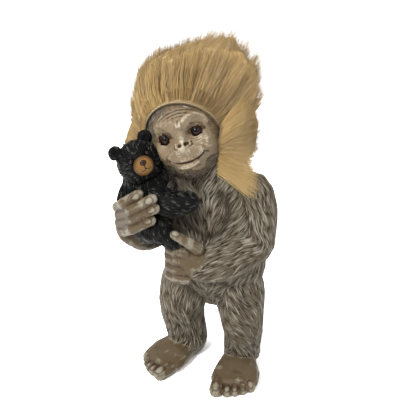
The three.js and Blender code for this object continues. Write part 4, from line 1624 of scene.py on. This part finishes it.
@dataclass
class Cub:
    """The bear cub in the figure's arms."""

    layout: Layout
    voxel: float = 0.85 * MM
    eyes: Triple = (8.2, -16.3, 7.5)
    eye_radius: float = 2.3
    nose_at: Triple = (0, -25.2, 3.4)
    nose_half: Triple = (3.2, 2.2, 2.4)
    ear_cup: float = 3.6
    socket: float = 3.2
    ears: Triple = (15.5, 2.05, 17.5)
    bead_faces: tuple[int, int] = (28, 18)

    def head(self) -> tuple[Surface, Array]:
        """Casts the cub's head, and hollows its ears and eye sockets.

        Returns:
            The skin, and how much dark wash each point takes.
        """
        skin = cast("cub_head_cast", ["cub_head"], self.voxel, 0.4 * MM, 8)
        q = local(skin.co, self.layout.cub_head)
        push, dark_wash_and_shade = np.zeros(len(q)), np.zeros(len(q))
        for side in (-1, 1):
            away = q - np.array((side * self.ears[0], self.ears[1], self.ears[2] + 0.6))
            ahead = (away[:, 1] < 0.5) & (np.abs(away[:, 1]) < 6)
            cup = np.exp(-(np.hypot(away[:, 0], away[:, 2]) / self.ear_cup) ** 2) * ahead
            push -= 1.6 * cup
            # Dark wash and painted shade inside the ear cup.
            dark_wash_and_shade += 0.9 * cup
            reach = np.hypot(q[:, 0] - side * self.eyes[0], q[:, 2] - self.eyes[2])
            socket = np.exp(-((reach / self.socket) ** 2)) * (q[:, 1] < -8)
            push -= 0.8 * socket
            # Dark wash and painted shade in the eye socket.
            dark_wash_and_shade += 0.8 * socket
        skin.push(push)
        return skin, np.clip(dark_wash_and_shade, 0, 1)

    def furred(
        self, skin: Surface, way: Array, dark_wash_and_shade: Array, share: Array, name: str, finishing: bpy.types.Material,
        seed: int, *nodes: str,
    ) -> None:
        """Dresses a cast of the cub and lays its strands.

        Args:
            skin: The cast.
            way: A rough direction of the hair at every point.
            dark_wash_and_shade: How much of the dark wash and painted shade each point takes.
            share: Where there is hair, 0 to 1.
            name: What the strands are called.
            finishing: The material of the coat.
            seed: The start of the random draws.
            nodes: The CAD nodes that the cast stands for.
        """
        skin.write(hollow=dark_wash_and_shade, carve=np.full(len(dark_wash_and_shade), 0.1), tone=np.zeros(len(dark_wash_and_shade)))
        locks = Locks(name + "_hair", 7.5 * MM, 0.7 * MM, 1.05 * MM, 0.2 * MM, knots=5, seed=seed)
        pale = 0.2 * wander(skin.co, 6 * MM, 2) - 0.05
        locks.lay(skin, laid(skin, way, 0.5, 6), share, dark_wash_and_shade, pale, finishing, Material.CUB, "figurine")
        finish(skin.piece, finishing, Material.CUB, "figurine", *nodes)

    def muzzle(self) -> None:
        """Casts the ochre muzzle, with its mouth line and a darker nose."""
        skin = cast("cub_snout", ["cub_muzzle"], 0.4 * MM, 0.3 * MM, 6)
        q = local(skin.co, self.layout.cub_head)
        x, _, z = q.T
        z0 = self.nose_at[2]
        push, dark = np.zeros(len(q)), np.zeros(len(q))
        for line in (
            Stroke(((0, z0 - 2.4), (0, z0 - 6.2)), 0.5, -0.7, 1.0),
            Stroke(eased(((0, z0 - 6.2), (-2.2, z0 - 7.8), (-4.6, z0 - 7.2))), 0.55, -0.7, 1.0),
            Stroke(eased(((0, z0 - 6.2), (2.2, z0 - 7.8), (4.6, z0 - 7.2))), 0.55, -0.7, 1.0),
        ):
            share = line.strength(x, z) * (q[:, 1] < -16)
            push += share * line.push
            dark += share * line.pale
        rim = np.clip((np.hypot(x, z + 1.0) - 6.6) / 3.0, 0, 1)
        skin.push(push)
        skin.write(
            hollow=np.clip(dark + 0.8 * rim, 0, 1), carve=0.55 - 0.4 * skin.hollows(6, 0.25 * MM),
            tone=0.4 * wander(skin.co, 2.5 * MM, 8),
        )
        ochre = CarvedCoat(
            "ochre_snout", paint(40, 26, 16), paint(122, 90, 48), paint(166, 134, 86), paint(220, 196, 150),
            0.55, 0.2, 0.5,
        ).material()
        finish(skin.piece, ochre, Material.MUZZLE, "figurine", "cub_muzzle")

    def set_bead(
        self, name: str, at: Triple, half: Triple, finishing: bpy.types.Material, node: str,
    ) -> None:
        """Sets a glossy bead in the cub's head.

        Args:
            name: The bead's name.
            at: Its place in the cub's head, in millimetres.
            half: Its half sizes, in millimetres.
            finishing: Its material.
            node: The CAD node that it stands for.
        """
        place = self.layout.cub_head @ Matrix.Translation(Vector(at) * MM)
        look, up = Vector((0, -1, 0)), Vector((0, 0, 1))
        bead(name, place, half, look, up, self.bead_faces, finishing, node)

    def build(self) -> None:
        """Casts the cub, lays its shaggy coat and sets its face."""
        finishing = CarvedCoat(
            "cub_coat", paint(0, 0, 0), paint(13, 13, 14), paint(82, 81, 74), paint(225, 228, 235), 0.5, 0.08,
        ).material()
        skin = cast(
            "cub_body_cast", ["cub_body", "cub_left_arm", "cub_right_arm", "cub_left_leg"], self.voxel,
            0.4 * MM, 8,
        )
        p = self.layout.designed(skin.co)
        way = np.tile((0.1, 0.0, -1.0), (len(p), 1))
        arm = (p[:, 0] > -30) & (p[:, 2] > 196)
        way[arm] = (1.0, 0.1, -0.25)
        # Large-scale hollows: dark wash and painted shade between the cub's body, arms and leg.
        dark_wash_and_shade = np.clip(skin.hollows(30, 1.6 * MM), 0, 1) * 0.7
        self.furred(
            skin, way, dark_wash_and_shade, np.ones(len(p)), "cub_coat", finishing, 3, "cub_body", "cub_left_arm",
            "cub_right_arm", "cub_left_leg",
        )
        skin, dark_wash_and_shade = self.head()
        q = local(skin.co, self.layout.cub_head)
        away = q - np.array((0, -19, 1))
        way = away @ np.array(self.layout.cub_head)[:3, :3].T
        share = ((np.hypot(away[:, 0], away[:, 2]) > 9.2) | (q[:, 1] > -8)).astype(float) * (dark_wash_and_shade < 0.5)
        self.furred(skin, way, dark_wash_and_shade, share, "cub_head", finishing, 4, "cub_head")
        self.muzzle()
        gloss = Gloss("cub_bead", paint(8, 5, 4), paint(40, 22, 12), 0.12).material()
        for side, name in ((-1, "right"), (1, "left")):
            self.set_bead(
                f"cub_{name}_bead", (side * self.eyes[0], self.eyes[1], self.eyes[2]), (self.eye_radius,) * 3,
                gloss, f"cub_{name}_eye",
            )
        nose = Gloss("cub_nose_gloss", paint(24, 15, 12), paint(66, 40, 26), 0.3).material()
        self.set_bead("cub_nose_tip", self.nose_at, self.nose_half, nose, "cub_nose")


@dataclass(frozen=True)
class Tousle:
    """How unruly the standing pile is. The frays and bends are shares of a strand's length."""

    lock_sizes: tuple[float, float] = (0.9, 1.1)
    lock_shades: float = 0.35
    tuft_sizes: tuple[float, float] = (0.92, 1.05)
    tuft_shades: float = 0.4
    tuft_fray: float = 0.055
    tuft_bend: float = 0.06
    drawn_to_lock: float = 0.24
    sizes: tuple[float, float] = (0.6, 1.0)
    fray: float = 0.06
    bend: float = 0.025
    drawn_sizes: tuple[float, float] = (0.75, 1.04)
    drawn_to_tuft: tuple[float, float] = (0.15, 0.75)
    from_skin: float = 0.4
    from_above: float = 0.25
    shades: float = 0.7


@dataclass
class Wig:
    """The slip-on wig: a knitted cap, a plaited trim along its front edge, and long combed pile."""

    layout: Layout
    half: Triple = (35 * MM, 37 * MM, 42 * MM)
    gap: float = 0.8 * MM
    root_gap: float = 3.4 * MM
    seam: float = 0.3 * MM
    braid_radius: float = 1.8 * MM
    braid_ends: tuple[float, float] = (-32, 212)
    edge_forward: float = -3.5 * MM
    edge_slope: float = -0.35
    nape: float = -26 * MM
    fur_length: float = 60 * MM
    rear_share: float = 0.7
    strands: int = 19000
    falling: int = 6100
    tufts: int = 620
    locks: int = 52
    knots: int = 5
    thick: float = 0.32 * MM
    fall_trials: int = 160000
    fall_sector: tuple[float, float] = (-68, 20)
    fall_depth: float = 15 * MM
    leads: int = 70
    plait_points: int = 420
    plait_pitch: float = 6.6 * MM
    yarn_turn: float = 1.1 * MM
    ribs: int = 80
    rib_depth: float = 0.12 * MM
    cap_wall: float = 1.1 * MM
    core_inset: float = 3.6 * MM
    most: int = 6000
    tousle: Tousle = Tousle()
    combing: tuple[Triple, ...] = (
        (-180, -239, 0.48), (-167, -215, 0.37), (-158, -180, 0.6), (-140, -150, 0.6), (-90, -80, 0.67),
        (-50, -10, 0.87), (-32, 4, 0.66), (-18, 26, 0.7), (0, 43, 0.74), (15, 46, 0.92), (40, 55, 1.16),
        (62, 68, 1.2), (90, 82, 0.88), (110, 91, 0.76), (130, 97, 0.78), (150, 103, 0.74), (165, 109, 0.6),
        (180, 121, 0.5),
    )
    falls: tuple[tuple[float, float, float, float], ...] = (
        (-70, 50, -10, -44), (-58, 54, -14, -46), (-35, 68.8, -18, -58), (-25, 72, -15, -42),
        (-15, 68, -12, -20), (-5, 65, -10, 4), (5, 68, -8, 24), (14, 64, -6, 42), (22, 62, -4, 52),
    )

    def __post_init__(self) -> None:
        """Works out how the leaned head stands in the upright wig."""
        self.frame = self.layout.wig
        lean = self.frame.to_3x3().inverted() @ self.layout.head.to_3x3()
        self.lean = np.array(lean)

    def placed(self, points: Array) -> Array:
        """Points of the wig's own frame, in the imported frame."""
        return points @ np.array(self.frame.to_3x3()).T + np.array(self.frame.translation)

    def scalp(self, ways: Array, gap: float) -> Array:
        """Points over the head's rounded form, a gap away from it, in the wig's frame."""
        return (ways @ self.lean * (np.array(self.half) + gap)) @ self.lean.T

    def combed(self, ways: Array) -> Array:
        """Combs the strands that grow from the scalp.

        Args:
            ways: The scalp directions.

        Returns:
            The way from root to tip for each, in metres.
        """
        table = np.array(self.combing)
        seen = np.degrees(np.arctan2(ways[:, 2], ways[:, 0]))
        turn = np.radians(np.interp(seen, table[:, 0], table[:, 1]))
        share = np.interp(seen, table[:, 0], table[:, 2])
        rear = np.clip((ways[:, 1] - 0.3) / 0.65, 0, 1)
        rear = rear * rear * (3 - 2 * rear)
        front = np.stack((np.cos(turn), np.full(len(turn), 0.1), np.sin(turn)), 1)
        back = unit(np.stack((ways[:, 0] * 0.5, np.full(len(turn), 0.8), ways[:, 2] - 0.25), 1))
        way = unit(front + (back - front) * rear[:, None])
        return way * (self.fur_length * (share + (self.rear_share - share) * rear))[:, None]

    def behind(self, ways: Array) -> Array:
        """How far behind the cap's front edge each scalp direction lies, in metres."""
        _, y, z = self.scalp(ways, self.root_gap - 1 * MM).T
        return y - self.edge_forward - self.edge_slope * z

    def covered(self, ways: Array) -> Array:
        """Which scalp directions the cap covers."""
        return (self.behind(ways) > 0) & (self.scalp(ways, 2.4 * MM)[:, 2] > self.nape)

    def spread(self, count: int, seed: int) -> Array:
        """Directions spread evenly over the covered scalp, in a shaken order.

        Args:
            count: About how many would cover the whole head.
            seed: The start of the random draws.

        Returns:
            The directions.
        """
        rng = np.random.default_rng(seed)
        step = np.arange(count * 2) + 0.5
        z = 1 - step / count
        turn = math.pi * (1 + 5**0.5) * step
        flat = np.sqrt(np.maximum(0, 1 - z * z))
        ways = np.stack((flat * np.cos(turn), flat * np.sin(turn), z), 1)
        ways = unit(ways + rng.normal(0, 0.5 / math.sqrt(count), ways.shape))
        return rng.permutation(ways[self.covered(ways)])

    def bent(self, start: Array, corners: Sequence[Array]) -> tuple[Array, Array]:
        """Points along strands that bend through four corners each.

        Args:
            start: Where along its curve each strand begins, from 0 at the root.
            corners: The four corners of every strand's curve, root first.

        Returns:
            The points of each strand, and how far along it each stands.
        """
        t = start[:, None] + (1 - start[:, None]) * np.linspace(0, 1, self.knots)[None, :]
        weights = ((1 - t) ** 3, 3 * t * (1 - t) ** 2, 3 * t * t * (1 - t), t**3)
        return sum(w[:, :, None] * c[:, None, :] for w, c in zip(weights, corners)), t

    def combed_up(self) -> tuple[Array, Array, Array]:
        """The strands that stand up and back, drawn into tufts and the tufts into locks.

        Returns:
            The points of each strand in the wig's frame, how far along it each stands, and its shade.
        """
        rng, wild = np.random.default_rng(11), self.tousle
        locks = self.spread(self.locks, 2)
        tufts = self.spread(self.tufts, 3)
        ways = self.spread(self.strands, 4)
        lock_roots, tuft_roots, roots = (self.scalp(w, self.root_gap) for w in (locks, tufts, ways))
        lock_size = rng.uniform(*wild.lock_sizes, len(locks))
        lock_tips = lock_roots + self.combed(locks) * lock_size[:, None]
        lock_shade = rng.normal(0, wild.lock_shades, len(locks))
        lock = nearest(lock_roots, tuft_roots)
        tuft_hair = self.combed(tufts)
        spread = tuft_hair.shape
        tuft_hair += rng.normal(0, wild.tuft_fray, spread) * np.linalg.norm(tuft_hair, axis=1)[:, None]
        tuft_size = lock_size[lock] * rng.uniform(*wild.tuft_sizes, len(tufts))
        tuft_tips = tuft_roots + tuft_hair * tuft_size[:, None]
        tuft_tips += wild.drawn_to_lock * (lock_tips[lock] - tuft_tips)
        tuft_shade = lock_shade[lock] + rng.normal(0, wild.tuft_shades, len(tufts))
        tuft_bend = rng.normal(0, wild.tuft_bend, spread) * np.linalg.norm(tuft_hair, axis=1)[:, None]
        tuft = nearest(tuft_roots, roots)
        hair = self.combed(ways)
        length = np.linalg.norm(hair, axis=1)[:, None]
        each = (len(ways), 1)
        own = roots + hair * rng.uniform(*wild.sizes, each) + rng.normal(0, wild.fray, hair.shape) * length
        drawn = roots + (tuft_tips[tuft] - roots) * rng.uniform(*wild.drawn_sizes, each)
        tips = own + (drawn - own) * rng.uniform(*wild.drawn_to_tuft, each)
        out = ways * length
        bend = tuft_bend[tuft] + rng.normal(0, wild.bend, hair.shape) * length
        first = roots + out * 0.15 + (tips - roots) * 0.14
        second = roots + out * 0.05 + (tips - roots) * 0.64 + bend
        start = np.where(rng.random(len(ways)) < wild.from_skin, 0.0, wild.from_above)
        paths, along = self.bent(start, (roots, first, second, tips))
        return paths, along, 0.8 * tuft_shade[tuft] + rng.normal(0.1, wild.shades, len(ways))

    def fallen(self, seen: Array) -> Array:
        """Where a falling strand ends that grows at each angle, in the wig's frame."""
        table = np.array(self.falls)
        return np.stack([np.interp(seen, table[:, 0], table[:, k]) for k in (1, 2, 3)], 1) * MM

    def combed_down(self) -> tuple[Array, Array, Array]:
        """The strands that roll over the left edge of the face and fall to the shoulder in one long lock.

        Returns:
            The points of each strand in the wig's frame, how far along it each stands, and its shade.
        """
        rng = np.random.default_rng(12)
        ways = self.spread(self.fall_trials, 5)
        seen = np.degrees(np.arctan2(ways[:, 2], ways[:, 0]))
        low, high = self.fall_sector
        chosen = (seen > low) & (seen < high) & (
            self.behind(ways) < rng.uniform(0, self.fall_depth, len(ways))
        )
        ways, seen = ways[chosen][: self.falling], seen[chosen][: self.falling]
        roots = self.scalp(ways, self.root_gap)
        lead = rng.uniform(low + 2, high - 2, self.leads)
        lead_tips = self.fallen(lead) + rng.normal(0, 2.2 * MM, (self.leads, 3))
        owner = np.abs(seen[:, None] + rng.normal(0, 3, (len(seen), 1)) - lead[None, :]).argmin(1)
        tips = self.fallen(seen + rng.normal(0, 5, len(seen))) + rng.normal(0, 2.5 * MM, roots.shape)
        tips += (lead_tips[owner] - tips) * rng.uniform(0.25, 0.9, (len(ways), 1))
        tips = roots + (tips - roots) * rng.uniform(0.62, 1.0, (len(ways), 1))
        roll = np.clip((26 - seen) / 24, 0, 1)[:, None] * np.array((-15, -28, -1)) * MM
        first = roots + roll * rng.uniform(0.7, 1.15, (len(ways), 1)) + rng.normal(0, 0.8 * MM, roots.shape)
        second = roots + (tips - roots) * 0.4 + np.array((-3, -13, 3)) * MM
        second += rng.normal(0, 1.5 * MM, roots.shape)
        paths, along = self.bent(np.zeros(len(ways)), (roots, first, second, tips))
        return paths, along, rng.normal(0.2, 0.5, self.leads)[owner] + rng.normal(0.35, 0.5, len(ways))

    def edge(self, count: int) -> Array:
        """Finds the line along the cap's front edge where the trim lies.

        Args:
            count: How many points.

        Returns:
            The points from the left cheek over to the right, in the wig's frame.
        """
        turn = np.radians(np.linspace(*self.braid_ends, count))
        low, high = np.full(count, -2.0), np.full(count, 2.0)
        for _ in range(24):
            middle = (low + high) / 2
            ways = unit(np.stack((np.cos(turn), middle, np.sin(turn)), 1))
            line = self.scalp(ways, self.gap + self.braid_radius)
            front = self.edge_forward - self.braid_radius - self.seam + self.edge_slope * line[:, 2]
            ahead = line[:, 1] < front
            low, high = np.where(ahead, middle, low), np.where(ahead, high, middle)
        return line

    def plait(self) -> None:
        """Plaits three strands of yarn along the front edge."""
        count = self.plait_points
        line = self.edge(count)
        along = unit(np.gradient(line, axis=0))
        run = np.concatenate(([0], np.cumsum(np.linalg.norm(np.diff(line, axis=0), axis=1))))
        out = unit(line)
        out = unit(out - along * np.einsum("ij,ij->i", out, along)[:, None])
        side = np.cross(along, out)
        phases = [2 * math.pi * (run / self.plait_pitch + number / 3) for number in range(3)]
        paths = []
        for phase in phases:
            swing = 0.52 * self.braid_radius * np.sin(phase)[:, None] * side
            paths.append(line + swing + 0.3 * self.braid_radius * np.sin(2 * phase)[:, None] * out)
        paths = self.placed(np.array(paths).reshape(-1, 3)).reshape(3, count, 3)
        radii = np.full((3, count), 0.34 * self.braid_radius)
        # Painted shade: each strand is darker where it swings out to the plait's edge and turns under.
        over = np.array([1 - 2.2 * np.abs(np.sin(phase)) for phase in phases])
        piece = tubes(
            "plaited_trim", paths, radii, 8, {"along": np.tile(run / self.yarn_turn, (3, 1)), "tone": over},
        )
        finish(piece, Yarn().material(), Material.BRAID, "wig", "wig_braid")

    def cap(self) -> None:
        """Knits the cap that the pile grows from."""
        mesh = bmesh.new()
        bmesh.ops.create_uvsphere(mesh, u_segments=160, v_segments=96, radius=1)
        ways = unit(np.array([vertex.co for vertex in mesh.verts]))
        rib = self.rib_depth * (1 + np.cos(self.ribs * np.arctan2(ways[:, 1], ways[:, 0])))
        spots = self.scalp(ways, self.gap + 0.3 * MM) + ways * rib[:, None]
        for vertex, spot in zip(mesh.verts, spots):
            vertex.co = spot
        front = Vector((0, 1, -self.edge_slope))
        for point, ahead in (((0, self.edge_forward, 0), -front), ((0, 0, self.nape), (0, 0, -1))):
            cut_away(mesh, point, ahead)
        bmesh.ops.transform(mesh, matrix=self.frame, verts=mesh.verts)
        bmesh.ops.recalc_face_normals(mesh, faces=mesh.faces)
        bmesh.ops.solidify(mesh, geom=mesh.faces[:], thickness=-self.cap_wall)
        bmesh.ops.recalc_face_normals(mesh, faces=mesh.faces)
        piece = object_from(mesh, "knitted_cap")
        knit = Cloth("knit", paint(196, 172, 124), paint(128, 104, 66)).material()
        finish(piece, knit, Material.BACKING, "wig", "wig_cap")

    def build(self) -> None:
        """Builds the core of the pile, its strands, the trim and the cap."""
        pile = Pile().material()
        growths = (("pile", self.combed_up(), ()), ("cheek_lock", self.combed_down(), ("wig_tress",)))
        for name, (paths, along, shade), nodes in growths:
            order = np.argsort(paths[:, 0, 0], kind="stable")
            for number, part in enumerate(np.array_split(order, math.ceil(len(order) / self.most))):
                flat = self.placed(paths[part].reshape(-1, 3)).reshape(-1, self.knots, 3)
                radii = self.thick * (1 - along[part] ** 1.6) + 0.03 * MM
                values = {"along": along[part], "tone": np.repeat(shade[part][:, None], self.knots, 1)}
                made = tubes(f"{name}_{number + 1}", flat, radii, 3, values)
                finish(made, pile, Material.FUR, "wig", *(nodes if number == 0 else ()))
        core = cast("pile_core", ["wig_fur"], 1.8 * MM, -self.core_inset, 10)
        way = self.combed(unit(local(core.co, self.frame))) @ np.array(self.frame.to_3x3()).T
        none = np.zeros(len(core.co))
        nap = Locks("pile_nap", 24 * MM, 0.34 * MM, 1.1 * MM, 0.4 * MM, knots=5, sides=3, seed=21, most=4000)
        flow = laid(core, way / self.fur_length, 0.5, 2)
        nap.lay(core, flow, none + 1, none, none, pile, Material.FUR, "wig")
        core.write(along=0.48 + 0.15 * wander(core.co, 6 * MM, 4), tone=wander(core.co, 2.5 * MM, 5))
        finish(core.piece, pile, Material.FUR, "wig", "wig_fur")
        self.plait()
        self.cap()


def main() -> None:
    """Builds everything in order."""
    logging.basicConfig(level=logging.INFO, format="%(name)s: %(message)s")
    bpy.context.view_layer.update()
    layout = Layout()
    Studio(shift=layout.shift).build()
    Figure(layout).build()
    Limbs(layout).build()
    Head(layout).build()
    Cub(layout).build()
    Wig(layout).build()
    bpy.context.view_layer.update()


if __name__ == "__main__":
    main()
